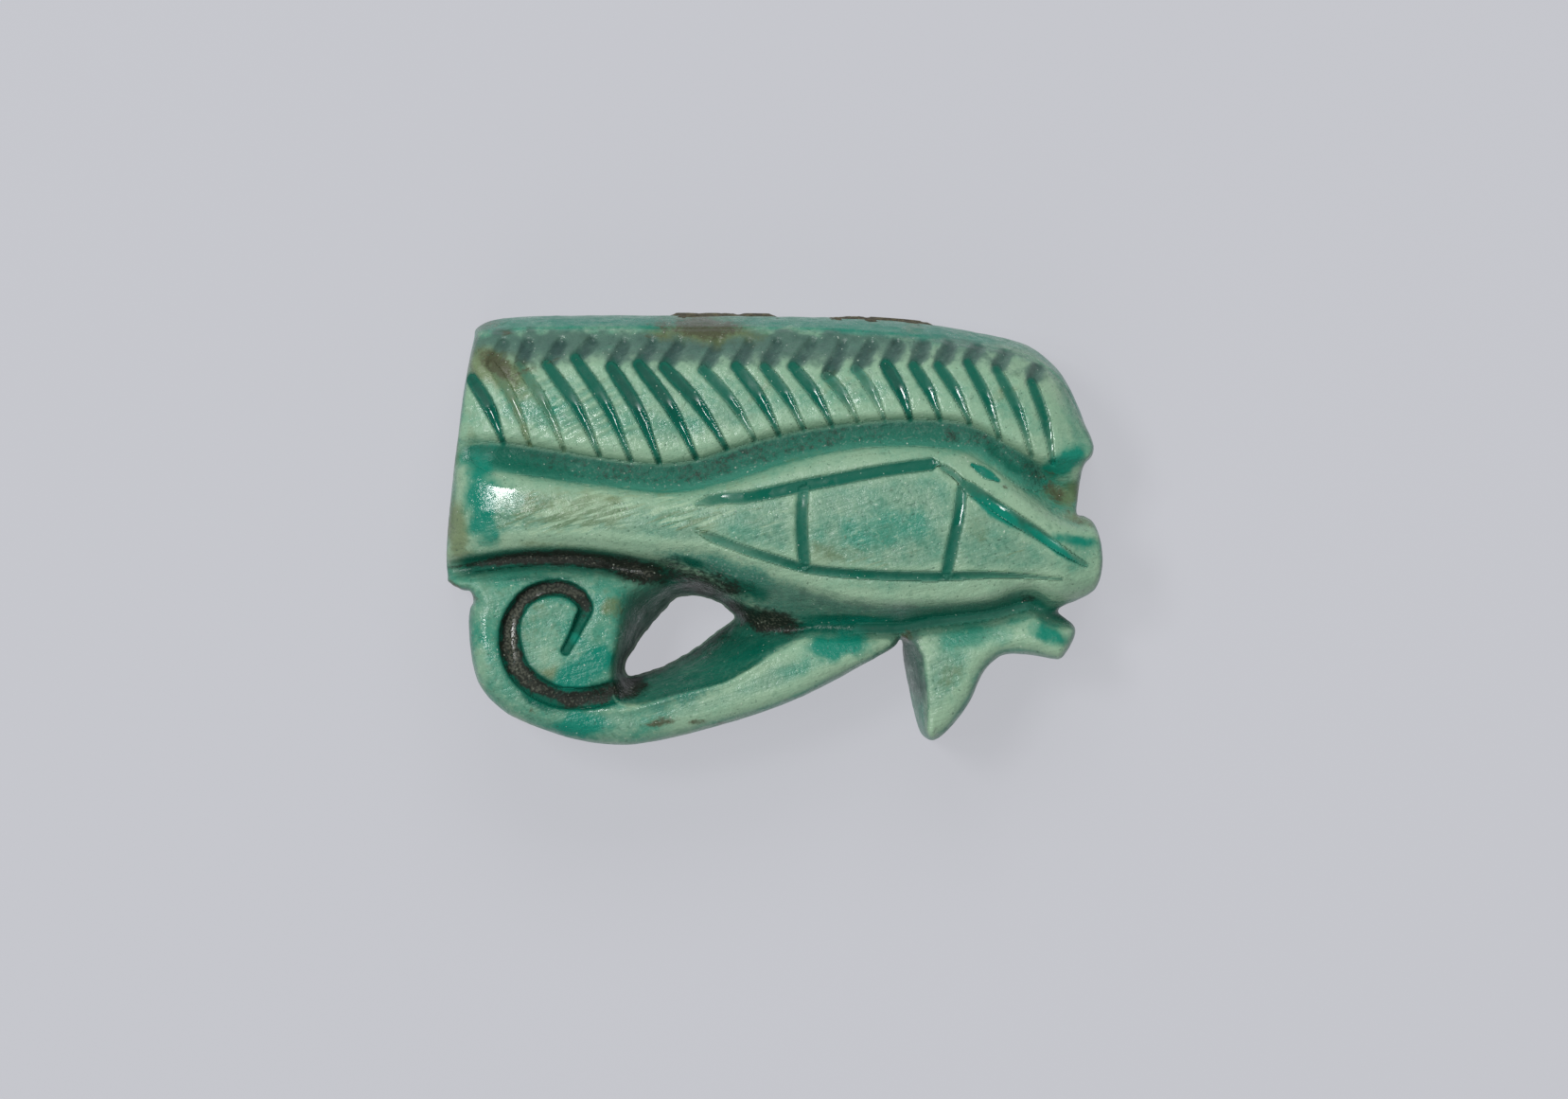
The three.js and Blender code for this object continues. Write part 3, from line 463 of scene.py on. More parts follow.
def noise(x, y, z, size, octaves=3, shift=0):
    """Even noise from -1 to 1 with lumps of the given size in mm."""
    total = np.zeros(np.broadcast(x, y, z).shape, np.float32)
    weight, weights = 1.0, 0.0
    for octave in range(octaves):
        offset = shift * 17.3 + octave * 5.7
        corners, parts = [], []
        for value in (x, y, z):
            spot = np.asarray(value, np.float64) / size + offset + 1000
            whole = np.floor(spot)
            part = (spot - whole).astype(np.float32)
            parts.append(part * part * (3 - 2 * part))
            corners.append(whole.astype(np.int64))
        for way in np.ndindex(2, 2, 2):
            share = math.prod(part if far else 1 - part for part, far in zip(parts, way))
            cell = tuple((corner + far) % NOISE_CELLS for corner, far in zip(corners, way))
            total += (weight * 2 * share) * (NOISE_TABLE[cell] - 0.5)
        weights += weight
        weight *= 0.5
        size *= 0.5
    return total / weights


def map_noise(size, octaves, shift):
    """Even noise over the map."""
    return noise(GRID_X, GRID_Y, 0.0, size, octaves, shift)


def patch(marks):
    """Mask of soft-edged oval patches."""
    mask = np.zeros(GRID_X.shape)
    wobble = 0.5 * map_noise(0.35, 3, 3)
    for u, v, half_long, half_wide, turn, strength in marks:
        cx, cy = place((u / 1000, v / 1000))
        half_long, half_wide = half_long / 100, half_wide / 100
        c, s = math.cos(math.radians(turn)), math.sin(math.radians(turn))
        run = ((GRID_X - cx) * c + (GRID_Y - cy) * s) / half_long
        rise = (-(GRID_X - cx) * s + (GRID_Y - cy) * c) / half_wide
        away = np.hypot(run, rise) + wobble * min(1, half_wide / 0.2)
        mask = np.maximum(mask, strength / 100 * fall(0.2, 1.5, away))
    return mask


def relief_map(bevel_width):
    """Height of the carved relief before any line is cut, from rows that follow its forms."""
    u = COLUMN_U
    ledge, brow_edge = along(LEDGE, u), along(BROW_EDGE, u)
    lid_edge, lid_front = along(LID_EDGE, u), along(LID_FRONT, u)
    low = along(LOW_CHANNEL, u)
    brow, eye = along(BROW_HEIGHT, u), along(EYE_HEIGHT, u)
    bevel = ledge - np.minimum(bevel_width / WIDTH, (ledge - brow_edge) * 0.5)
    floor = brow - CHANNEL_FLOOR * (0.15 + 0.85 * ease(0.02, 0.12, u))
    upper_floor = 0.26 + 0.3 * ease(0.9, 0.95, u)

    def mix(a, b, part):
        return a + (b - a) * part

    level = np.ones_like(u)
    rows = [
        (level * 1.1, level * LEDGE_HEIGHT),
        (ledge, level * LEDGE_HEIGHT),
        (bevel, brow - 0.045),
        (mix(bevel, brow_edge, 0.4), brow - 0.018),
        (mix(bevel, brow_edge, 0.9), brow + 0.003),
        (brow_edge, brow - 0.02),
        (mix(brow_edge, lid_edge, upper_floor), floor),
        (mix(brow_edge, lid_edge, 0.55), floor + 0.004),
        (lid_edge, eye - 0.035),
        (mix(lid_edge, lid_front, 0.07), eye + 0.004),
        (mix(lid_edge, lid_front, 0.2), eye + 0.02),
        (mix(lid_edge, lid_front, 0.5), eye + 0.03),
        (mix(lid_edge, lid_front, 0.8), eye + 0.01),
        (lid_front, eye - 0.04),
        (low, level * LOW_FLOOR),
        (low - 0.035, level * (LOW_TOP - 0.03)),
        (low - 0.08, level * LOW_TOP),
        (low * 0.4, level * LOW_TOP),
        (level * -0.1, level * LOW_EDGE),
    ]
    height = np.repeat((rows[0][1] * HEIGHT)[:, None], len(MAP_Y), 1)
    for (near, near_up), (far, far_up) in zip(rows[:-1], rows[1:]):
        near_y, far_y = ((near - 0.5) * WIDTH)[:, None], ((far - 0.5) * WIDTH)[:, None]
        part = np.clip((near_y - GRID_Y) / (near_y - far_y), 0, 1)
        height += ((far_up - near_up) * HEIGHT)[:, None] * part
    height = blur(height, 0.055)
    return np.maximum(height, blur(height, 0.14) - 0.01)


def lean_at(up):
    """Share of the wall's lean at a share of the height: upright below, then a worn shoulder."""
    return np.where(up < LEDGE_HEIGHT, LEDGE_HEIGHT * (np.clip(up, 0, 1) / LEDGE_HEIGHT) ** 4, up)


def cup(distance, half, power=0.6):
    """Cross-section of a cut from 1 at its middle to 0 at its lip."""
    return np.clip(1 - (distance / half) ** 2, 0, 1) ** power


def taper(run, start, end):
    """Thins a cut towards its two ends."""
    return ease(0, start, run) * fall(1 - end, 1, run)




class Carving:
    """All maps of the seal: heights, walls, cuts, glaze levels and colour masks."""

    def __init__(self, sizes):
        self.lean_depth = sizes.mm("wall_lean")
        self.bore_radius = sizes.mm("bore_radius")
        self.outline, run = signed_loop(OUTLINE)
        chips = 0.008 + 0.07 * patch(BROKEN_CORNER)
        self.outline += chips * map_noise(0.22, 3, 15)
        lean_run = smooth_run(OUTLINE, closed=True)
        spots = np.array([place(s) for s in lean_run])
        steps = np.concatenate([[0], np.cumsum(np.hypot(*(spots[1:] - spots[:-1]).T))])
        self.lean = blur(np.interp(run, steps / steps[-1], lean_run[:, 2]) * self.lean_depth, 0.12)
        self.neck, _ = signed_loop(NECK)
        self.neck += 0.03 * map_noise(0.16, 3, 14)
        self.mouth, _ = signed_loop(MOUTH)
        relief = relief_map(sizes.mm("bevel_width"))
        relief += 0.035 * map_noise(1.6, 3, 1)
        self.unsunk = self.round_edges(relief)
        surface = self.sink_opening(self.unsunk)
        self.tail_away, tail_run, self.tail_side = measure_shares(TAIL_RIDGE, 0.4)
        surface += 0.035 * fall(0.0, 0.16, self.tail_away) * taper(tail_run, 0.15, 0.2)
        self.depth = np.zeros(GRID_X.shape)
        self.pools = {}
        self.masks = {}
        self.cloud = map_noise(0.8, 3, 5)
        self.ripple = 0.018 * map_noise(0.32, 2, 21)
        self.cut_strokes(surface, sizes.mm("stroke_width") / 2)
        self.cut_eye(surface, sizes.mm("line_width") / 2)
        self.cut_spiral(surface, sizes.mm("spiral_width") / 2)
        self.surface = surface - self.depth + self.ladder()
        self.fill_channels()
        self.engrave()
        self.paint()

    def ladder(self):
        """Low cross marks on the first ridges of the brow."""
        u, v = GRID_U, GRID_V
        steps = np.sin((0.45 * GRID_X - 0.89 * GRID_Y) * 28 + 2 * map_noise(0.5, 2, 8))
        steps *= ease(0.06, 0.1, u) * fall(0.24, 0.36, u) * ease(0.68, 0.72, v)
        steps *= 0.5 + 0.9 * map_noise(0.3, 2, 16)
        return 0.026 * steps * fall(0.84, 0.88, v) * fall(0, 0.05, self.depth)

    def round_edges(self, height):
        """Wears the rim of the seal round, more on the volute and tail than on the ledge."""
        u, v = GRID_U, GRID_V
        radius = 0.14 + 0.3 * fall(0.3, 0.42, v) + 0.25 * ease(0.86, 0.95, u) * ease(0.7, 0.8, v)
        radius += 0.3 * fall(0.03, 0.14, u) * ease(0.44, 0.5, v) * fall(0.6, 0.68, v)
        radius -= 0.28 * ease(0.69, 0.7, u) * fall(0.735, 0.75, u) * fall(0.28, 0.3, v)
        from_rim = -self.outline - self.lean * lean_at(height / HEIGHT)
        part = np.clip(1 - from_rim / radius, 0, 1)
        return height - radius * (1 - np.sqrt(1 - part**2)) * 0.9

    def sink_opening(self, height):
        """Slopes the relief down into the opening between eye, volute and tail."""
        mouth = self.mouth
        share = np.clip(self.neck / (self.neck - mouth + 1e-6), 0, 1)
        middle_x, middle_y = place((0.355, 0.253))
        from_x, from_y = GRID_X - middle_x, GRID_Y - middle_y
        facing = (0.55 * from_x - 0.83 * from_y) / (np.hypot(from_x, from_y) + 1e-6)
        crisp = self.crisp = ease(-0.1, 0.4, facing)
        drop = crisp * share**0.75 + (1 - crisp) * (1 - (1 - share) ** 1.6)
        floor = NECK_HEIGHT * HEIGHT
        lowered = np.where((mouth < 0) & (self.neck > 0), floor + (height - floor) * drop, height)
        lowered = np.where(self.neck <= 0, floor, lowered)
        soft = (1 - crisp) * (mouth < 0.2)
        lowered = lowered + (blur(lowered, 0.1) - lowered) * soft
        self.in_opening = np.where(mouth < 0, 1 - share, 0.0)
        self.in_opening = np.where(self.neck <= 0, 1.0, self.in_opening)
        return lowered

    def add_pool(self, name, level, near):
        """Keeps the glaze level of a cut where the cut is near, and nothing elsewhere."""
        level = level + self.ripple
        pool = self.pools.setdefault(name, np.full(GRID_X.shape, -FAR))
        pool[near] = np.maximum(pool[near], level[near])

    def cut_strokes(self, surface, half):
        """Cuts the herringbone of the brow: broad short strokes that turn into narrow long ones."""
        waver = 0.35 * map_noise(0.3, 2, 13)
        for index, (*spots, tone, olive) in enumerate(STROKES):
            top, bend, foot = (np.array(place(spots[k : k + 2])) for k in (0, 2, 4))
            way = foot - bend
            bow = np.array([way[1], -way[0]]) * -0.045
            end = foot + way * (0.05 / np.hypot(*way))
            long_run = smooth_run([bend, (bend + foot) / 2 + bow, end])
            distance, run, _ = measure_line(long_run, 0.6)
            width = half * (0.82 + 0.35 * tone) * (1.05 - 0.5 * ease(0.3, 1.0, run))
            width *= 0.85 + 0.15 * ease(0.0, 0.12, run)
            depth = (0.15 + 0.07 * tone) * cup(distance, width, 1.2)
            short_away, short_run, _ = measure_line([bend, top], 0.6)
            short = 0.15 * cup(short_away, half * 1.5, 1.3) * fall(0.8, 1.0, short_run)
            self.depth = np.maximum(self.depth, np.maximum(depth, short))
            part = np.clip(distance / width, 0, LIP)
            level = surface - 0.045 + 0.01 * part**2 + 0.24 * distance * ease(0.35, 0.5, run)
            level -= 0.05 * fall(0, 0.1, run)
            level -= 0.12 * ease(0.95, 1.0, run)
            self.add_pool(f"brow_stroke_glaze_{index + 1:02d}", level, distance < width * LIP)
            soft = fall(0.2, 1.9, distance / width)
            self.lay("deep", tone * soft * (1.12 - 0.45 * ease(0.45, 1.0, run)))
            self.lay("olive", olive * soft)
            self.lay("gloss", 1.2 * soft * ease(0.35, 0.55, run))
            if index == 0:
                continue
            swell = np.clip(np.sin(short_run * math.pi), 0, 1) ** 0.6
            away = short_away / (0.08 + 0.13 * swell) + waver
            dull = fall(0.1, 1.9, away) * fall(0.85, 1.0, short_run)
            self.lay("slate", (0.9 + 0.3 * self.cloud) * dull)
            self.lay("deep", 0.45 * tone * dull * fall(0.1, 0.5, short_run))

    def lay(self, name, mask):
        """Adds to one of the colour masks."""
        old = self.masks.setdefault(name, np.zeros(GRID_X.shape))
        self.masks[name] = np.maximum(old, mask)

    def cut_eye(self, surface, half):
        """Cuts the lines round the eye and iris and the nick in the upper lid."""
        for shares, wide, start, end, tone in EYE_LINES:
            distance, run, _ = measure_shares(shares, 0.7)
            thin = taper(run, start, end)
            width = half * wide * (0.45 + 0.55 * thin)
            if shares is EYE_CORNER:
                width *= 0.55 + 0.45 * ease(0.16, 0.24, run)
            deep = 0.22 * (0.4 + 0.6 * thin)
            self.depth = np.maximum(self.depth, deep * cup(distance, width, 1.2))
            level = surface - 0.25 * deep + 0.04 * np.clip(distance / width, 0, LIP) ** 2
            if shares is EYE_CORNER:
                level += 0.053 * np.sin((run * 4.35 - 1.94) * 2 * math.pi / 1.52)
            self.add_pool("eye_line_glaze", level, distance < width * LIP)
            fade = (0.5 + 0.5 * thin) * (0.6 + 0.4 * ease(0.0, 0.4, run))
            self.lay("deep", tone * fade * fall(0.3, 1.9, distance / width))
            self.lay("gloss", 1.1 * ease(-0.1, 0.3, self.cloud) * (distance < width))
        distance, run, _ = measure_shares(LID_NICK, 0.6)
        width = half * 0.9 * (0.4 + 0.6 * taper(run, 0.4, 0.4))
        self.depth = np.maximum(self.depth, 0.13 * cup(distance, width, 1.0))
        level = surface - 0.05 + 0.04 * np.clip(distance / width, 0, LIP) ** 2
        self.add_pool("lid_nick_glaze", level, distance < width * LIP)
        soft = fall(0.3, 1.5, distance / width)
        self.lay("deep", 0.2 * soft)
        self.lay("turquoise", 1.1 * soft)
        self.lay("gloss", 1.2 * (distance < 0.3))

    def cut_spiral(self, surface, half):
        """Cuts the volute's groove, steep and deep, which opens out into the opening's slope."""
        distance, run, _ = measure_shares(SPIRAL, 1.0)
        width = half * (1.25 - 0.35 * ease(0.45, 0.62, run)) * (1 - 0.45 * ease(0.78, 1.0, run))
        deep = 0.55 * (1 - 0.65 * ease(0.85, 1.0, run)) * ease(0.0, 0.14, run)
        floor = self.unsunk - deep * cup(distance, width, 0.5)
        self.depth = np.maximum(self.depth, np.clip(surface - floor, 0, None) * (distance < width))
        level = self.unsunk - 0.66 * deep + 1.1 * distance**2
        level = np.minimum(level, surface - 0.05 - 0.3 * ease(0.0, 0.3, self.in_opening))
        self.add_pool("spiral_glaze", level, distance < width * LIP)
        ink = fall(0.8, 0.92, run) * (0.7 + 0.4 * ease(0.08, 0.3, run))
        waver = 0.3 * map_noise(0.2, 2, 17)
        self.lay("soot", ink * fall(0.35, 1.15, distance / width + waver))
        self.lay("deep", 0.9 * fall(0.7, 1.8, distance / width))

    def level_along(self, table):
        """Height of the carved surface on a line that runs the seal's length."""
        spots = (along(table, COLUMN_U) - 0.5) * WIDTH
        heights = sample(self.surface, MAP_X, spots)
        return blur(np.repeat(heights[:, None], len(MAP_Y), 1), 0.1)

    def fill_channels(self):
        """Lays glaze in the brow channel, under the lower lid and over the volute."""
        u = GRID_U
        inside = -self.outline > 0.12
        upper = [(s[0], s[1] * 0.6 + along(LID_EDGE, s[0]) * 0.4) for s in BROW_EDGE]
        brow, lid = (along(t, COLUMN_U)[:, None] for t in (BROW_EDGE, LID_EDGE))
        across = (brow - GRID_V) / (brow - lid)
        room = 0.15 + 0.85 * ease(0.02, 0.12, u)
        level = self.level_along(upper) + 0.3 * room
        level = level + 0.65 * room * np.clip(across - 0.35, 0, 1) ** 2
        level = level - 0.12 * fall(0.02, 0.08, u) - 0.5 * ease(0.87, 0.94, u)
        self.add_pool("brow_channel_glaze", level, (across > -0.1) & (across < 1.2) & inside)
        distance, _, _ = measure_shares(LOW_CHANNEL, 0.8)
        for name, start, end, rise in LOW_POOLS:
            middle = ease(start, start + 0.04, u) * fall(end - 0.04, end, u)
            level = self.level_along(LOW_CHANNEL) + rise - 0.3 * (1 - middle)
            level = level + 1.4 * distance**2 - 0.5 * ease(0.14, 0.28, distance)
            near = (distance < 0.3) & inside & (u > start - 0.02) & (u < end)
            self.add_pool(name, level, near & (self.in_opening < 0.02))
        line = (0.85 - 0.25 * ease(0.7, 0.8, u)) * fall(0.02, 0.34, distance)
        self.lay("deep", line * ease(0.3, 0.5, u))
        ink = distance / (0.3 + 0.7 * ease(0.0, 0.15, u))
        ink = ink + 0.07 * map_noise(0.2, 2, 18)
        line = fall(0.06, 0.28, ink) * (0.45 + 0.4 * ease(0.0, 0.1, u))
        self.lay("soot", line * fall(0.3, 0.36, u))
        line = fall(0.1, 0.42, distance) * ease(0.0, 0.04, u)
        self.lay("deep", line * (0.75 - 0.3 * ease(0.3, 0.5, u)))

    def engrave(self):
        """Cuts the border line, rings, dots and ties of the stamp face."""
        border = smooth_run([place(s) for s in FACE_BORDER], closed=True)
        cuts = [(measure_line(border, 0.4)[0], FACE_LINE)]
        centres = [np.array(place(s)) for s in FACE_RINGS]
        for cx, cy in centres:
            away = np.hypot(GRID_X - cx, GRID_Y - cy)
            cuts += [(np.abs(away - RING_RADIUS), FACE_LINE), (away, DOT_RADIUS)]
        for a, b in zip(centres[:-1], centres[1:]):
            way = (b - a) / np.hypot(*(b - a)) * RING_RADIUS
            cuts.append((measure_line([a + way, b - way], 0.4)[0], FACE_LINE))
        self.face_cut = np.max([cup(away, half, 0.8) for away, half in cuts], 0) * FACE_DEPTH

    def paint_brow(self):
        """Colours bevel, ridges and channel, and gives the place across the last two."""
        u, v, cloud = GRID_U, GRID_V, self.cloud
        ledge, brow, lid = (along(t, COLUMN_U)[:, None] for t in (LEDGE, BROW_EDGE, LID_EDGE))
        bevel = ledge - 0.068
        edge = 0.02 * map_noise(0.25, 2, 6)
        zone = ease(-0.02, 0.004, ledge - v + edge) * fall(-0.05, 0.035, bevel - v + edge)
        zone *= 1 + 0.35 * ease(0.26, 0.34, u) * fall(0.58, 0.66, u)
        right = 1 - 0.35 * ease(0.6, 0.75, u) - 0.6 * ease(0.85, 0.93, u)
        self.lay("slate", zone * (0.46 + 0.3 * cloud) * right)
        across = (brow - v) / (brow - lid) * (1 + 0.3 * ease(0.76, 0.82, u))
        channel = ease(0.04, 0.26, across) * fall(0.65, 1.2, across)
        self.lay("dusk", channel * ease(0.01, 0.05, u) * fall(0.88, 0.93, u))
        self.lay("deep", 0.7 * channel * ease(0.01, 0.05, u) * fall(0.1, 0.42, u))
        # Darker from the channel's upper edge to past its middle, fading towards the lid.
        upper_dark = channel * fall(0.55, 1.05, across) * ease(0.07, 0.2, u)
        self.lay("deep", 0.5 * upper_dark * fall(0.88, 0.93, u))
        self.lay("soot", upper_dark * (0.28 + 0.42 * cloud) * fall(0.89, 0.93, u))
        self.lay("teal", fall(0.8, 1.5, across) * ease(0.2, 0.6, across) * 0.9)
        ridges = ease(0.0, 0.02, v - brow) * fall(-0.02, 0.02, v - bevel)
        self.lay("worn", ridges * fall(0.0, 0.12, v - brow) * (0.9 + 0.5 * cloud))
        return across, ridges

    def paint_opening(self):
        """Colours the slope under the eye and the walls of the opening, and gives its rim."""
        u, v, cloud, crisp = GRID_U, GRID_V, self.cloud, self.crisp
        front, low = (along(t, COLUMN_U)[:, None] for t in (LID_FRONT, LOW_CHANNEL))
        slope = np.clip((front - v) / np.maximum(front - low, 0.02), 0, 1.3)
        under = ease(0.0, 0.25, slope) * fall(1.0, 1.25, slope)
        self.lay("slate", under * 0.3 * ease(0.3, 0.5, u) * fall(0.84, 0.9, u))
        self.lay("dusk", under * 0.8 * slope * ease(0.3, 0.4, u) * fall(0.86, 0.92, u))
        # The pale line along the crisp rim of the opening is a painted highlight, laid with the
        # wear.
        rim = fall(0.015, 0.06, np.abs(self.mouth)) * crisp
        self.lay("worn", 1.3 * rim * fall(0.48, 0.54, u))
        hole = ease(0.0, 0.7 - 0.55 * crisp, self.in_opening)
        self.lay("dusk", hole * (0.8 + 0.3 * cloud) * (0.55 + 0.45 * crisp))
        # On the upper and left wall the soot is thin and a grey slate is laid: painted light that
        # lifts the steep wall out of its shade.
        self.lay("soot", hole * (0.12 + 0.35 * cloud) * (1 - 0.8 * crisp))
        self.lay("slate", 0.7 * hole * (1 - crisp))
        self.lay("deep", hole * (0.48 + 0.3 * cloud) * crisp)
        self.lay("soot", ease(0.45, 1.0, self.in_opening) * (0.35 + 0.3 * cloud) * crisp)
        return rim

    def paint(self):
        """Works out the colour masks that follow the forms, and adds the marks."""
        u, v, cloud = GRID_U, GRID_V, self.cloud
        across, ridges = self.paint_brow()
        rim = self.paint_opening()
        volute = fall(0.38, 0.44, v) * fall(0.28, 0.4, u)
        around = blur(self.surface, 0.3)
        soft_lid = 1 - 0.3 * ease(0.4, 0.7, across) * fall(1.3, 1.9, across)
        self.lay("worn", ease(0.0, 0.1, self.surface - around) * (1 - 0.7 * volute) * soft_lid)
        self.lay("teal", ease(0.0, 0.3, around - self.surface))
        self.lay("teal", 0.3 + 0.25 * cloud + 0.35 * volute + 0.3 * ridges)
        for name, marks in MARKS.items():
            self.lay(name, patch(marks))
        above = (self.tail_side > 0) * ease(0.25, 0.34, u) * fall(0.46, 0.52, u)
        self.lay("deep", 0.62 * above * fall(0.05, 0.4, self.tail_away))
        # Pale line along the tail's ridge: wear, with the ridge's highlight painted in.
        self.lay("worn", fall(0.015, 0.07, self.tail_away) * (0.9 + 0.5 * cloud))
        self.lay("gloss", 0.5 * fall(0.0, 0.06, self.tail_away))
        self.wall_marks = {name: patch(MARKS[name]) for name in ("slate", "dusk")}
        # These thin what is laid already, so they come last.
        bare = 1 - 0.4 * self.masks["turquoise"] - 0.85 * patch(SPIRAL_BARE)
        self.masks["soot"] = self.masks["soot"] * bare
        # Dusk and deep glaze are cleared under the rim's painted highlight.
        for name in ("dusk", "deep"):
            self.masks[name] = self.masks[name] * (1 - 0.85 * rim * fall(0.53, 0.56, u))


# Holds the one carving that the operators share.
_carving = []


def carving():
    """Makes the maps once and hands them to every operator."""
    if not _carving:
        _carving.append(Carving(bpy.context.scene.seal_sizes))
    return _carving[0]


def sample(field, x, y):
    """Reads a map between its points."""
    col = np.clip((x - MAP_X[0]) / MAP_STEP, 0, len(MAP_X) - 1.001)
    row = np.clip((y - MAP_Y[0]) / MAP_STEP, 0, len(MAP_Y) - 1.001)
    i, j = col.astype(np.int64), row.astype(np.int64)
    a, b = (col - i), (row - j)
    return (
        field[i, j] * (1 - a) * (1 - b)
        + field[i + 1, j] * a * (1 - b)
        + field[i, j + 1] * (1 - a) * b
        + field[i + 1, j + 1] * a * b
    )


def round_max(first, second, radius):
    """Larger of two fields, with the corner between them rounded."""
    part = np.clip(0.5 + 0.5 * (first - second) / radius, 0, 1)
    return second + (first - second) * part + radius * part * (1 - part)


# Middle of the bore, and how round the foot is, in mm.
BORE_ACROSS = (0.58 - 0.5) * WIDTH
BORE_UP = 0.4 * HEIGHT
FOOT_ROUND = 0.12


def stone_field(maps, x, y, z, wobble=True):
    """Signed field of the carved stone, negative inside, near enough a distance in mm."""
    top = (z - sample(maps["surface"], x, y)) * sample(maps["flatness"], x, y)
    outline = sample(maps["outline"], x, y)
    lean = sample(maps["lean"], x, y)
    wall = outline + lean * lean_at(z / HEIGHT)
    opening = -sample(maps["neck"], x, y) - 0.06 * np.clip(1 - z / 1.5, 0, 1)
    bore = maps["bore_radius"] - np.hypot(y - BORE_ACROSS, z - BORE_UP)
    base = sample(maps["face_cut"], x, y) - z
    field = round_max(top, wall, 0.06)
    field = round_max(field, opening, 0.08)
    field = round_max(field, base, FOOT_ROUND)
    field = round_max(field, bore, 0.1)
    if wobble:
        field = field + 0.012 * noise(x, y, z, 0.55, 2, 9) * np.clip(z / 0.3, 0, 1)
    return field


def surface_nets(field, origin, step):
    """Turns a grid of field values to a mesh of quads on its zero surface."""
    inside = field < 0
    shape = np.array(field.shape) - 1
    count = np.zeros(shape, np.int8)
    for i, j, k in np.ndindex(2, 2, 2):
        count += inside[i : shape[0] + i, j : shape[1] + j, k : shape[2] + k]
    cells = np.argwhere((count > 0) & (count < 8))
    number = np.full(shape, -1, np.int64)
    number[tuple(cells.T)] = np.arange(len(cells))
    corners = [np.array(c) for c in np.ndindex(2, 2, 2)]
    total = np.zeros((len(cells), 3))
    crossings = np.zeros(len(cells))
    for a in corners:
        for b in corners:
            if (b - a).sum() != 1 or (b < a).any():
                continue
            start, end = field[tuple((cells + a).T)], field[tuple((cells + b).T)]
            cross = (start < 0) != (end < 0)
            part = np.where(cross, start / np.where(cross, start - end, 1), 0)
            total += cross[:, None] * (a + (b - a) * part[:, None])
            crossings += cross
    points = origin + (cells + total / crossings[:, None]) * step
    quads = []
    for axis in range(3):
        one, side, up = np.roll(np.eye(3, dtype=int), -axis, 0)
        near = inside[tuple(slice(0, n - o) for n, o in zip(inside.shape, one))]
        far = inside[tuple(slice(o, None) for o in one)]
        for flip, mask in ((False, near & ~far), (True, ~near & far)):
            spots = np.argwhere(mask)
            ok = ((spots - side - up) >= 0).all(1) & (spots < shape).all(1)
            spots = spots[ok]
            ring = [spots - side - up, spots - up, spots, spots - side]
            quad = np.stack([number[tuple(r.T)] for r in ring], 1)
            quads.append(quad[:, ::-1] if flip else quad)
    return points, np.concatenate(quads)


def new_piece(name, points, faces):
    """Makes an object from points in mm and faces, shaded smooth, in metres."""
    mesh = bpy.data.meshes.new(name)
    points = np.asarray(points, np.float64) * METRE
    mesh.from_pydata(points.tolist(), [], np.asarray(faces).tolist())
    mesh.update()
    mesh.shade_smooth()
    piece = bpy.data.objects.new(name, mesh)
    bpy.context.scene.collection.objects.link(piece)
    return piece


def give_mask(piece, name, values):
    """Stores one number for each vertex, for the material to read."""
    layer = piece.data.attributes.new(name, "FLOAT", "POINT")
    layer.data.foreach_set("value", np.asarray(values, np.float32))


def vertex_places(mesh):
    """The mesh's vertices in millimetres."""
    flat = np.zeros(len(mesh.vertices) * 3)
    mesh.vertices.foreach_get("co", flat)
    return flat.reshape(-1, 3) / METRE


def add(tree, kind, inputs=None, out=0, **settings):
    """Adds a node with its settings and its inputs' values or links, and gives one output."""
    made = tree.nodes.new(kind)
    for key, value in settings.items():
        setattr(made, key, value)
    for key, value in (inputs or {}).items():
        if isinstance(value, bpy.types.NodeSocket):
            tree.links.new(value, made.inputs[key])
        else:
            made.inputs[key].default_value = value
    return made.outputs[out]


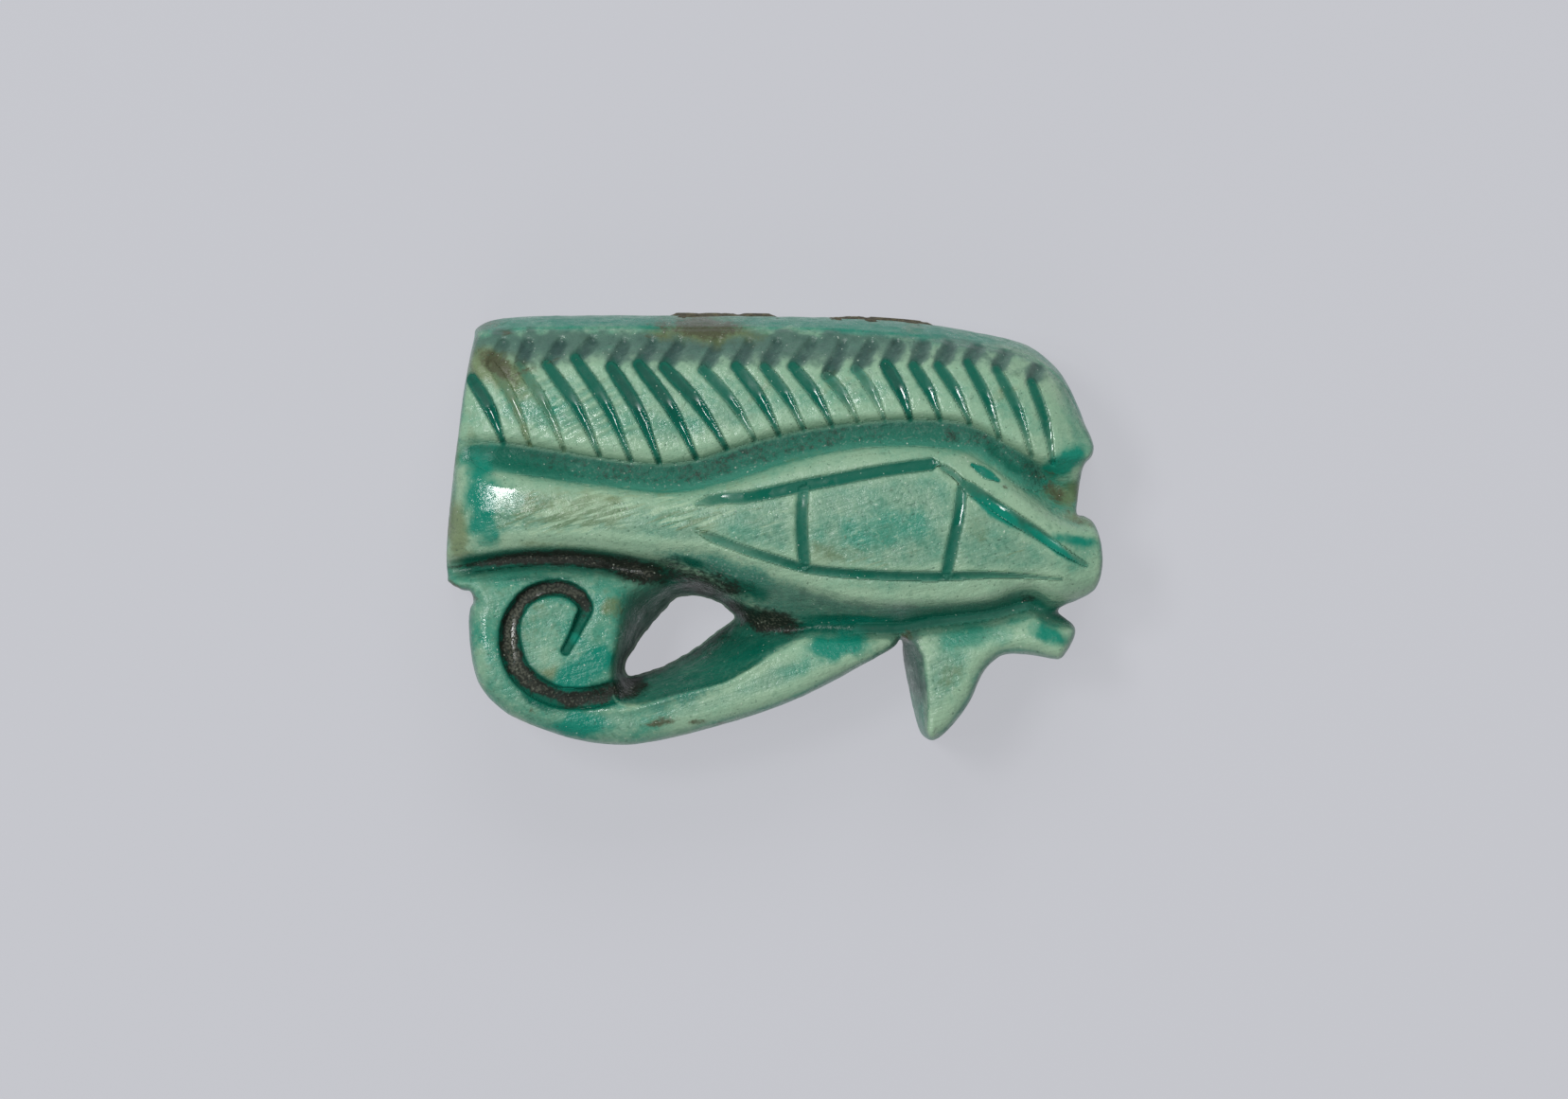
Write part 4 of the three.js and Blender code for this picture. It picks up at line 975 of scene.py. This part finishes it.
# Colour layers over the worn glaze, from the first laid to the last: mask, grain that breaks
# its edge and how much, where it starts and is full, most share, and colour. A name of the
# colour group stands for that colour.
GLAZE_LAYERS = (
    ("teal", "cloud", 1.6, 0.05, 0.95, 1.0, "teal"),
    ("", "fine", 1.0, 0.02, 0.2, 0.44, "a3c4a4"),
    ("", "fine", -1.0, 0.02, 0.2, 0.5, "3d6e59"),
    ("", "mottle", 1.0, 0.02, 0.18, 0.66, "418a70"),
    ("score", "scored", 2.0, 0.9, 1.25, 0.7, "6f8560"),
    ("score", "scored", -2.0, 0.95, 1.3, 0.7, "aac6a4"),
    # Pale of wear on the crests; on the opening's rim and the tail's ridge it is a painted
    # highlight.
    ("worn", "mottle", 1.0, 0.15, 1.0, 0.6, "a9c8a7"),
    ("slate", "mottle", 0.8, 0.0, 0.5, 0.9, "4f6f64"),
    ("slate", "mottle", 1.1, 0.4, 1.1, 0.9, "334f4b"),
    ("olive", "mottle", 1.3, 0.05, 1.0, 0.75, "6c784f"),
    ("dusk", "fine", 1.3, 0.05, 0.95, 0.95, "3a7f6c"),
    # Pale specks in the dusk: bubbles, and painted glints too.
    ("dusk", "speck", 1.6, 1.05, 1.35, 0.5, "a3b8aa"),
    ("dusk", "fine", -1.6, 1.1, 1.3, 0.5, "2c5a50"),
    ("deep", "fine", 0.4, 0.05, 0.75, 1.0, "deep"),
    ("deep", "fine", 0.4, 0.8, 1.15, 0.6, "004236"),
    ("turquoise", "mottle", 0.9, 0.1, 0.95, 0.97, "00806b"),
    ("soot", "fine", 1.2, 0.15, 0.75, 0.95, "25251f"),
    ("soot", "fine", 1.0, 0.95, 1.15, 0.4, "43463b"),
    ("soot", "speck", 1.6, 0.98, 1.22, 0.5, "676a5c"),
    ("brown", "fine", 2.0, 0.35, 1.15, 0.9, "crust"),
    # Dark specks, then pale ones that stand for bubbles and are also painted glints.
    ("", "speck", -1.0, 0.26, 0.3, 0.5, "35584a"),
    ("", "speck", 1.0, 0.32, 0.35, 0.6, "d5e2d2"),
)
# Grains: size in mm, how much longer than wide, detail and roughness of the noise. The sizes are
# judged on the photo, at 0.023 mm a pixel. Bubbles in the glaze are about 0.02 mm there, too fine
# to show in the render, so specks are drawn as coarse as 0.06 mm; the pale specks stand for these
# bubbles and are also painted glints.
GRAINS = {
    "cloud": (1.0, 1, 4.0, 0.6),
    "mottle": (0.3, 1, 4.0, 0.65),
    "fine": (0.12, 1, 3.0, 0.7),
    "speck": (0.06, 1, 0.0, 0.5),
    "scored": (0.11, 9, 2.0, 0.6),
}
# Height of the bumps in glaze and crust.
BUMP_DEPTH = 0.03 * METRE


def fired_glaze(name, colours, roughness, spread, relief):
    """Alkaline copper glaze fired over steatite.

    The eye sees pale grey-green where it is thin, teal to dark green where it ran deep, sooty brown
    in the pits, tiny pale specks that stand for bubbles and are also painted glints, and a shine
    that the carving tool's marks break up.
    """
    material = bpy.data.materials.new(name)
    material.use_nodes = True
    tree = material.node_tree
    shader = tree.nodes["Principled BSDF"]
    middle = add(tree, "ShaderNodeTexCoord", out="Object")
    grains = {}
    for key, (size, length, detail, rough) in GRAINS.items():
        grain = size * METRE
        lie = {0: middle, 2: (0, 0, math.radians(17)), 3: (grain * length, grain, grain)}
        lain = add(tree, "ShaderNodeMapping", lie, vector_type="TEXTURE")
        values = {0: lain, "Scale": 1.0}
        values.update({"Detail": detail, "Roughness": rough})
        grains[key] = add(tree, "ShaderNodeTexNoise", values)
    masks = {
        key: add(tree, "ShaderNodeAttribute", out="Fac", attribute_name=key)
        for key in sorted({"gloss", *(layer[0] for layer in GLAZE_LAYERS if layer[0])})
    }
    colour = colours.pale
    for mask, grain, amount, low, high, most, tint in GLAZE_LAYERS:
        tint = linear(tint) if len(tint) == 6 else getattr(colours, tint)
        sum_in = {0: grains[grain], 1: amount, 2: masks.get(mask, 0.0)}
        total = add(tree, "ShaderNodeMath", sum_in, operation="MULTIPLY_ADD")
        edges = {0: total, 1: low + amount / 2, 2: high + amount / 2, 3: 0.0, 4: most}
        part = add(tree, "ShaderNodeMapRange", edges, interpolation_type="SMOOTHSTEP")
        colour = add(tree, "ShaderNodeMix", {0: part, 6: colour, 7: tint}, 2, data_type="RGBA")
    tree.links.new(colour, shader.inputs["Base Color"])
    uneven = {0: grains["mottle"], 1: 0.3, 2: 0.7, 3: roughness - spread, 4: roughness + spread}
    sheen = {0: masks["gloss"], 1: -roughness, 2: add(tree, "ShaderNodeMapRange", uneven)}
    gloss = add(tree, "ShaderNodeMath", sheen, operation="MULTIPLY_ADD")
    held = add(tree, "ShaderNodeMath", {0: gloss, 1: 0.06}, operation="MAXIMUM")
    tree.links.new(held, shader.inputs["Roughness"])
    lines = {0: grains["fine"], 1: grains["scored"]}
    lumps = {0: grains["mottle"], 1: 1.5, 2: add(tree, "ShaderNodeMath", lines, operation="ADD")}
    height = add(tree, "ShaderNodeMath", lumps, operation="MULTIPLY_ADD")
    calm = {0: masks["gloss"], 1: -0.8 * relief, 2: relief}
    calm = add(tree, "ShaderNodeMath", calm, operation="MULTIPLY_ADD")
    bump = {"Height": height, "Strength": calm, "Distance": BUMP_DEPTH}
    tree.links.new(add(tree, "ShaderNodeBump", bump), shader.inputs["Normal"])
    shader.inputs["IOR"].default_value = 1.5
    return material


def burial_crust():
    """Earthy lime crust left by burial: matt, brown and grainy.

    Its grain is drawn 0.15 mm wide, judged on the photo at 0.023 mm a pixel.
    """
    material = bpy.data.materials.new("burial_crust")
    material.use_nodes = True
    tree = material.node_tree
    shader = tree.nodes["Principled BSDF"]
    middle = add(tree, "ShaderNodeTexCoord", out="Object")
    values = {0: middle, "Scale": 1 / (0.15 * METRE), "Detail": 5.0}
    grain = add(tree, "ShaderNodeTexNoise", values)
    part = add(tree, "ShaderNodeMapRange", {0: grain, 1: 0.35, 2: 0.68})
    tones = {0: part, 6: linear("37342a"), 7: linear("6d674b")}
    colour = add(tree, "ShaderNodeMix", tones, 2, data_type="RGBA")
    tree.links.new(colour, shader.inputs["Base Color"])
    shader.inputs["Roughness"].default_value = 0.85
    bump = {"Height": grain, "Strength": 0.6, "Distance": BUMP_DEPTH}
    tree.links.new(add(tree, "ShaderNodeBump", bump), shader.inputs["Normal"])
    return material


# How far the wall of the opening takes each colour. The full pale of the wear layer, with only a
# little dusk and soot, is painted light that lifts the steep wall out of its shade.
NECK_SHARES = {"dusk": 0.4, "soot": 0.18, "worn": 1.0}


def give_masks(piece, cut, stone=False):
    """Reads the colour masks at every vertex."""
    x, y, z = vertex_places(piece.data).T
    below = ease(0.12, 0.5, sample(cut.surface, x, y) - z) if stone else np.zeros_like(x)
    at_neck = ease(-0.3, 0.1, -sample(cut.neck, x, y))
    for name, field in cut.masks.items():
        values = sample(field, x, y)
        if name in ("deep", "soot", "worn", "slate", "dusk"):
            values = values * (1 - below)
        if name in cut.wall_marks:
            values = np.maximum(values, sample(cut.wall_marks[name], x, y))
        if name == "teal":
            values = values + 0.45 * below
        if name in NECK_SHARES:
            values = np.maximum(values, NECK_SHARES[name] * at_neck)
        if stone and name == "deep":
            values = np.maximum(values, sample(cut.face_cut, x, y) * 3.5 * (z < 0.3))
        if stone and name == "soot":
            bored = np.hypot(y - BORE_ACROSS, z - BORE_UP) - cut.bore_radius
            values = np.maximum(values, 0.7 * fall(0.0, 0.15, bored) * (z < HEIGHT * 0.6))
        if name == "gloss":
            values = values - 0.9 * at_neck
        give_mask(piece, name, np.clip(values, -1 if name == "gloss" else 0, 1.2))


def slope_of(field):
    """Factor that turns a height difference into a distance, from the map's slope."""
    across, up = np.gradient(field, MAP_STEP)
    return 1 / np.sqrt(1 + np.clip(across**2 + up**2, 0, 16))


class SEAL_OT_carve_stone(bpy.types.Operator):
    """Carve the stone with its relief, opening, bore and stamp face"""

    bl_idname = "seal.carve_stone"
    bl_label = "Carve Stone"

    def execute(self, context):
        sizes = context.scene.seal_sizes
        cut = carving()
        maps = {
            "surface": cut.surface,
            "flatness": slope_of(cut.surface),
            "outline": cut.outline,
            "lean": cut.lean,
            "neck": cut.neck,
            "face_cut": cut.face_cut,
            "bore_radius": cut.bore_radius,
        }
        step = sizes.mm("grain") * 1.0
        margin = 3 * step
        low = np.array([-LENGTH / 2 - margin, -WIDTH / 2 - margin, -margin])
        high = np.array([LENGTH / 2 + margin, WIDTH / 2 + margin, HEIGHT + margin])
        axes = [np.arange(a, b, step) for a, b in zip(low, high)]
        field = np.empty([len(a) for a in axes], np.float32)
        flat_x, flat_y = np.meshgrid(axes[0], axes[1], indexing="ij")
        for k, z in enumerate(axes[2]):
            field[:, :, k] = stone_field(maps, flat_x, flat_y, np.full_like(flat_x, z), False)
        points, quads = surface_nets(field, low, step)
        # The points are moved onto the field's zero, by slopes taken over this reach in mm.
        reach = 0.008
        for _ in range(3):
            x, y, z = points.T
            value = stone_field(maps, x, y, z)
            slope = np.stack(
                [
                    stone_field(maps, x + a, y + b, z + c) - stone_field(maps, x - a, y - b, z - c)
                    for a, b, c in np.eye(3) * reach
                ],
                1,
            ) / (2 * reach)
            size = np.maximum((slope**2).sum(1), 0.2)
            move = np.clip(value / size, -step * 0.4, step * 0.4)[:, None] * slope
            points = points - move
        piece = new_piece("carved_stone", points, quads)
        thin_out(piece, sizes.faces)
        give_masks(piece, cut, True)
        colours = context.scene.seal_colours
        finish = fired_glaze("worn_glaze", colours, roughness=0.34, spread=0.14, relief=0.7)
        piece.data.materials.append(finish)
        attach(piece, "root")
        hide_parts("carved_body")
        return {"FINISHED"}


def thin_out(piece, most):
    """Thins a mesh to the given number of triangles, keeping its curved places."""
    triangles = sum(len(p.vertices) - 2 for p in piece.data.polygons)
    if triangles <= most:
        return
    change = piece.modifiers.new("thin", "DECIMATE")
    change.ratio = most / triangles
    graph = bpy.context.evaluated_depsgraph_get()
    thinned = bpy.data.meshes.new_from_object(piece.evaluated_get(graph))
    piece.modifiers.clear()
    old = piece.data
    piece.data = thinned
    bpy.data.meshes.remove(old)
    piece.data.shade_smooth()


# In mm: how near the stone a pool's level blends into it, how far above the stone it still
# stands there, and how deep the pool goes into it.
POOL_EDGE, POOL_LEAST, POOL_ROOT = 0.03, 0.004, 0.03


def pool_mesh(name, level, ground):
    """Closed thin body between a glaze level and the stone under it, which it runs out on."""

    def corners(mask):
        return [mask[:-1, :-1], mask[1:, :-1], mask[:-1, 1:], mask[1:, 1:]]

    keep = level > ground - POOL_EDGE
    level = np.where(level > 0, round_max(level, ground + POOL_LEAST, POOL_EDGE), level)
    cells = np.any(corners(keep), 0) & np.all(corners(level > 0), 0)
    spots = np.argwhere(cells)
    if len(spots) == 0:
        raise RuntimeError(f"{name} has no room")
    used = np.zeros(level.shape, bool)
    for di, dj in np.ndindex(2, 2):
        used[spots[:, 0] + di, spots[:, 1] + dj] = True
    number = np.full(level.shape, -1)
    order = np.argwhere(used)
    number[tuple(order.T)] = np.arange(len(order))
    x, y = MAP_X[order[:, 0]], MAP_Y[order[:, 1]]
    top = level[tuple(order.T)]
    below = np.minimum(ground[tuple(order.T)], top) - POOL_ROOT
    count = len(order)
    points = np.concatenate([np.stack([x, y, top], 1), np.stack([x, y, below], 1)])
    i, j = spots.T
    ring = [number[i, j], number[i + 1, j], number[i + 1, j + 1], number[i, j + 1]]
    faces = [np.stack(ring, 1), np.stack(ring[::-1], 1) + count]
    padded = np.pad(cells, 1)
    for di, dj, a, b in ((0, -1, 0, 1), (1, 0, 1, 2), (0, 1, 2, 3), (-1, 0, 3, 0)):
        open_side = ~padded[i + 1 + di, j + 1 + dj]
        first, last = ring[a][open_side], ring[b][open_side]
        faces.append(np.stack([first, first + count, last + count, last], 1))
    return new_piece(name, points, np.concatenate(faces))


class SEAL_OT_pour_glaze(bpy.types.Operator):
    """Lay the pooled glaze in the cut lines and channels"""

    bl_idname = "seal.pour_glaze"
    bl_label = "Pour Glaze"

    def execute(self, context):
        cut = carving()
        colours = context.scene.seal_colours
        glassy = fired_glaze("pooled_glaze", colours, roughness=0.68, spread=0.08, relief=0.25)
        satin = fired_glaze("channel_glaze", colours, roughness=0.66, spread=0.12, relief=0.9)
        sooty = fired_glaze("smoked_glaze", colours, roughness=0.7, spread=0.1, relief=1.0)
        for name, level in cut.pools.items():
            piece = pool_mesh(f"{name}_pool", level, cut.surface)
            give_masks(piece, cut)
            dark = name in ("spiral_glaze", "volute_arc_glaze")
            finish = sooty if dark else satin if name == "brow_channel_glaze" else glassy
            piece.data.materials.append(finish)
            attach(piece, "root")
            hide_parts(name)
        return {"FINISHED"}


# Patches of crust: piece, from and to along the length, and from and to up the wall, in shares.
CRUSTS = (
    ("edge_crust_middle", 0.31, 0.53, 0.06, 0.66),
    ("edge_crust_right", 0.535, 0.75, 0.06, 0.6),
)
# Mesh rows of a patch, its least and most thickness, and how deep it goes into the wall, in mm.
CRUST_ROWS = 60
CRUST_LEAST, CRUST_MOST, CRUST_ROOT = -0.03, 0.075, 0.05


class SEAL_OT_grow_crust(bpy.types.Operator):
    """Grow the burial crust on the long upper wall"""

    bl_idname = "seal.grow_crust"
    bl_label = "Grow Crust"

    def execute(self, context):
        cut = carving()
        finish = burial_crust()
        run = smooth_run(OUTLINE, closed=True, steps=60)
        spots = np.array([place(s) for s in run])
        for name, start, end, low, high in CRUSTS:
            upper = (run[:, 0] > start) & (run[:, 0] < end) & (run[:, 1] > 0.9)
            line = spots[upper]
            lean = run[upper, 2] * cut.lean_depth
            ups = np.linspace(low, high, CRUST_ROWS) * HEIGHT
            x = np.repeat(line[:, 0][:, None], CRUST_ROWS, 1)
            z = np.repeat(ups[None, :], len(line), 0)
            y = line[:, 1][:, None] - lean[:, None] * lean_at(z / HEIGHT)
            across = np.linspace(-1, 1, len(line))[:, None]
            upward = np.linspace(-1, 1, CRUST_ROWS)[None, :]
            edge = 1 - np.maximum(np.abs(across), np.abs(upward)) ** 4
            thick = 0.09 * edge + 0.16 * noise(x, y, z * 0.5, 0.6, 4, 11) - 0.055 - 0.06 * upward
            thick += 0.02 * noise(x, y, z * 0.3, 0.15, 2, 12)
            rim = np.maximum(np.abs(across), -upward) + 0.5 * noise(x, y, z, 0.7, 4, 13)
            thick -= 0.2 * ease(0.62, 1.1, rim)
            thick = np.clip(thick, CRUST_LEAST, CRUST_MOST)
            outer = np.stack([x, y + thick, z], -1).reshape(-1, 3)
            inner = np.stack([x, y - CRUST_ROOT, z], -1).reshape(-1, 3)
            count = x.size
            index = np.arange(count).reshape(x.shape)
            ring = [index[:-1, :-1], index[1:, :-1], index[1:, 1:], index[:-1, 1:]]
            quad = np.stack(ring, -1).reshape(-1, 4)
            faces = [quad, quad[:, ::-1] + count]
            for side in (index[0], index[-1][::-1], index[:, -1], index[:, 0][::-1]):
                a, b = side[:-1], side[1:]
                faces.append(np.stack([a, b, b + count, a + count], 1))
            piece = new_piece(f"{name}_lump", np.concatenate([outer, inner]), np.concatenate(faces))
            piece.data.materials.append(finish)
            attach(piece, "root")
            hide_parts(name)
        return {"FINISHED"}


# The photograph's frame: its pixels, the seal's box in it, and the camera's long lens.
FRAME_PIXELS = (1657, 1161)
SEAL_PIXELS = (471.3, 332.0, 694.0, 455.0)
LENS_MM = 300.0
SENSOR_MM = 36.0
FOCUS_HEIGHT = 0.6 * HEIGHT
# The card that the seal lies on: half its width and how far it lies under the stone, in mm, and
# its colour. It is clear from below, so that the stamp face can be looked at.
FLOOR_HALF, FLOOR_DROP, CARD = 400, 0.02, "c7c8ce"
# Lamps: name, place and size in mm, power in watts, and whether the glaze mirrors it.
LAMPS = (
    ("high_softbox", (20, 300, 300), (260, 200), 0.775, False),
    ("fill_softbox", (-80, -280, 300), (300, 300), 0.33, False),
    ("gloss_softbox", (-122, 70, 321), (70, 70), 0.42, True),
    ("spark_lamp", (-125, -5, 325), (36, 36), 0.1, True),
)
ROOM_COLOUR, ROOM_LIGHT = (0.95, 0.98, 1.0, 1.0), 0.15


class SEAL_OT_set_stage(bpy.types.Operator):
    """Lay the floor and set the lamps and the camera"""

    bl_idname = "seal.set_stage"
    bl_label = "Set Stage"

    def execute(self, context):
        scene = context.scene
        half, drop = FLOOR_HALF * METRE, -FLOOR_DROP * METRE
        mesh = bpy.data.meshes.new("floor")
        corners = [(x * half, y * half, drop) for x, y in ((-1, -1), (1, -1), (1, 1), (-1, 1))]
        mesh.from_pydata(corners, [], [(0, 1, 2, 3)])
        floor = bpy.data.objects.new("floor", mesh)
        scene.collection.objects.link(floor)
        mesh.materials.append(self.floor_finish())

        pixel = LENGTH / SEAL_PIXELS[2]
        middle_x = (FRAME_PIXELS[0] / 2 - (SEAL_PIXELS[0] + SEAL_PIXELS[2] / 2)) * pixel
        middle_y = ((SEAL_PIXELS[1] + SEAL_PIXELS[3] / 2) - FRAME_PIXELS[1] / 2) * pixel
        view_wide = FRAME_PIXELS[0] * pixel
        away = view_wide * LENS_MM / SENSOR_MM
        data = bpy.data.cameras.new("camera")
        data.lens, data.sensor_width = LENS_MM, SENSOR_MM
        data.clip_start, data.clip_end = 1 * METRE, 10.0
        camera = bpy.data.objects.new("camera", data)
        camera.location = (middle_x * METRE, middle_y * METRE, (away + FOCUS_HEIGHT) * METRE)
        scene.collection.objects.link(camera)
        scene.camera = camera

        for lamp in LAMPS:
            self.lamp(*lamp)
        world = bpy.data.worlds.new("studio")
        world.use_nodes = True
        background = world.node_tree.nodes["Background"]
        background.inputs[0].default_value = ROOM_COLOUR
        background.inputs[1].default_value = ROOM_LIGHT
        scene.world = world
        scene.view_settings.view_transform = "Standard"
        return {"FINISHED"}

    def floor_finish(self):
        """Pale grey matt card, shown mostly in its own colour so that its shadows stay faint."""
        material = bpy.data.materials.new("grey_card")
        material.use_nodes = True
        tree = material.node_tree
        shader = tree.nodes["Principled BSDF"]
        shader.inputs["Base Color"].default_value = linear(CARD)
        shader.inputs["Roughness"].default_value = 0.95
        shader.inputs["Specular IOR Level"].default_value = 0.1
        flat = add(tree, "ShaderNodeEmission", {0: linear(CARD), 1: 1.0})
        seen = add(tree, "ShaderNodeLightPath", out="Is Camera Ray")
        for ray in ("Is Glossy Ray", "Is Transmission Ray"):
            other = add(tree, "ShaderNodeLightPath", out=ray)
            seen = add(tree, "ShaderNodeMath", {0: seen, 1: other}, operation="MAXIMUM")
        part = add(tree, "ShaderNodeMath", {0: seen, 1: 0.8}, operation="MULTIPLY")
        both = add(tree, "ShaderNodeMixShader", {0: part, 1: shader.outputs[0], 2: flat})
        under = add(tree, "ShaderNodeNewGeometry", out="Backfacing")
        clear = add(tree, "ShaderNodeBsdfTransparent")
        both = add(tree, "ShaderNodeMixShader", {0: under, 1: both, 2: clear})
        tree.links.new(both, tree.nodes["Material Output"].inputs["Surface"])
        return material

    def lamp(self, name, spot, size, power, glossy):
        """Adds a rectangular lamp that faces the seal, its place and size in mm."""
        data = bpy.data.lights.new(name, "AREA")
        data.shape = "RECTANGLE"
        data.size, data.size_y = size[0] * METRE, size[1] * METRE
        data.energy = power
        lamp = bpy.data.objects.new(name, data)
        lamp.location = [v * METRE for v in spot]
        lamp.visible_glossy = glossy
        lamp.rotation_mode = "QUATERNION"
        lamp.rotation_quaternion = (-lamp.location).to_track_quat("-Z", "Y")
        bpy.context.scene.collection.objects.link(lamp)


class SEAL_PT_panel(bpy.types.Panel):
    """Buttons and values of the seal"""

    bl_label = "Eye Stamp Seal"
    bl_idname = "SEAL_PT_panel"
    bl_space_type = "VIEW_3D"
    bl_region_type = "UI"
    bl_category = "Seal"

    def draw(self, context):
        for operator in OPERATORS:
            self.layout.operator(operator.bl_idname)
        for group in (context.scene.seal_sizes, context.scene.seal_colours):
            box = self.layout.box()
            for name in group.__annotations__:
                box.prop(group, name)


OPERATORS = (SEAL_OT_carve_stone, SEAL_OT_pour_glaze, SEAL_OT_grow_crust, SEAL_OT_set_stage)
CLASSES = (SealSizes, SealColours, *OPERATORS, SEAL_PT_panel)


def register():
    for item in CLASSES:
        bpy.utils.register_class(item)
    bpy.types.Scene.seal_sizes = PointerProperty(type=SealSizes)
    bpy.types.Scene.seal_colours = PointerProperty(type=SealColours)


def unregister():
    del bpy.types.Scene.seal_colours
    del bpy.types.Scene.seal_sizes
    for item in reversed(CLASSES):
        bpy.utils.unregister_class(item)


def main():
    register()
    bpy.ops.seal.carve_stone()
    bpy.ops.seal.pour_glaze()
    bpy.ops.seal.grow_crust()
    bpy.ops.seal.set_stage()


if __name__ == "__main__":
    main()
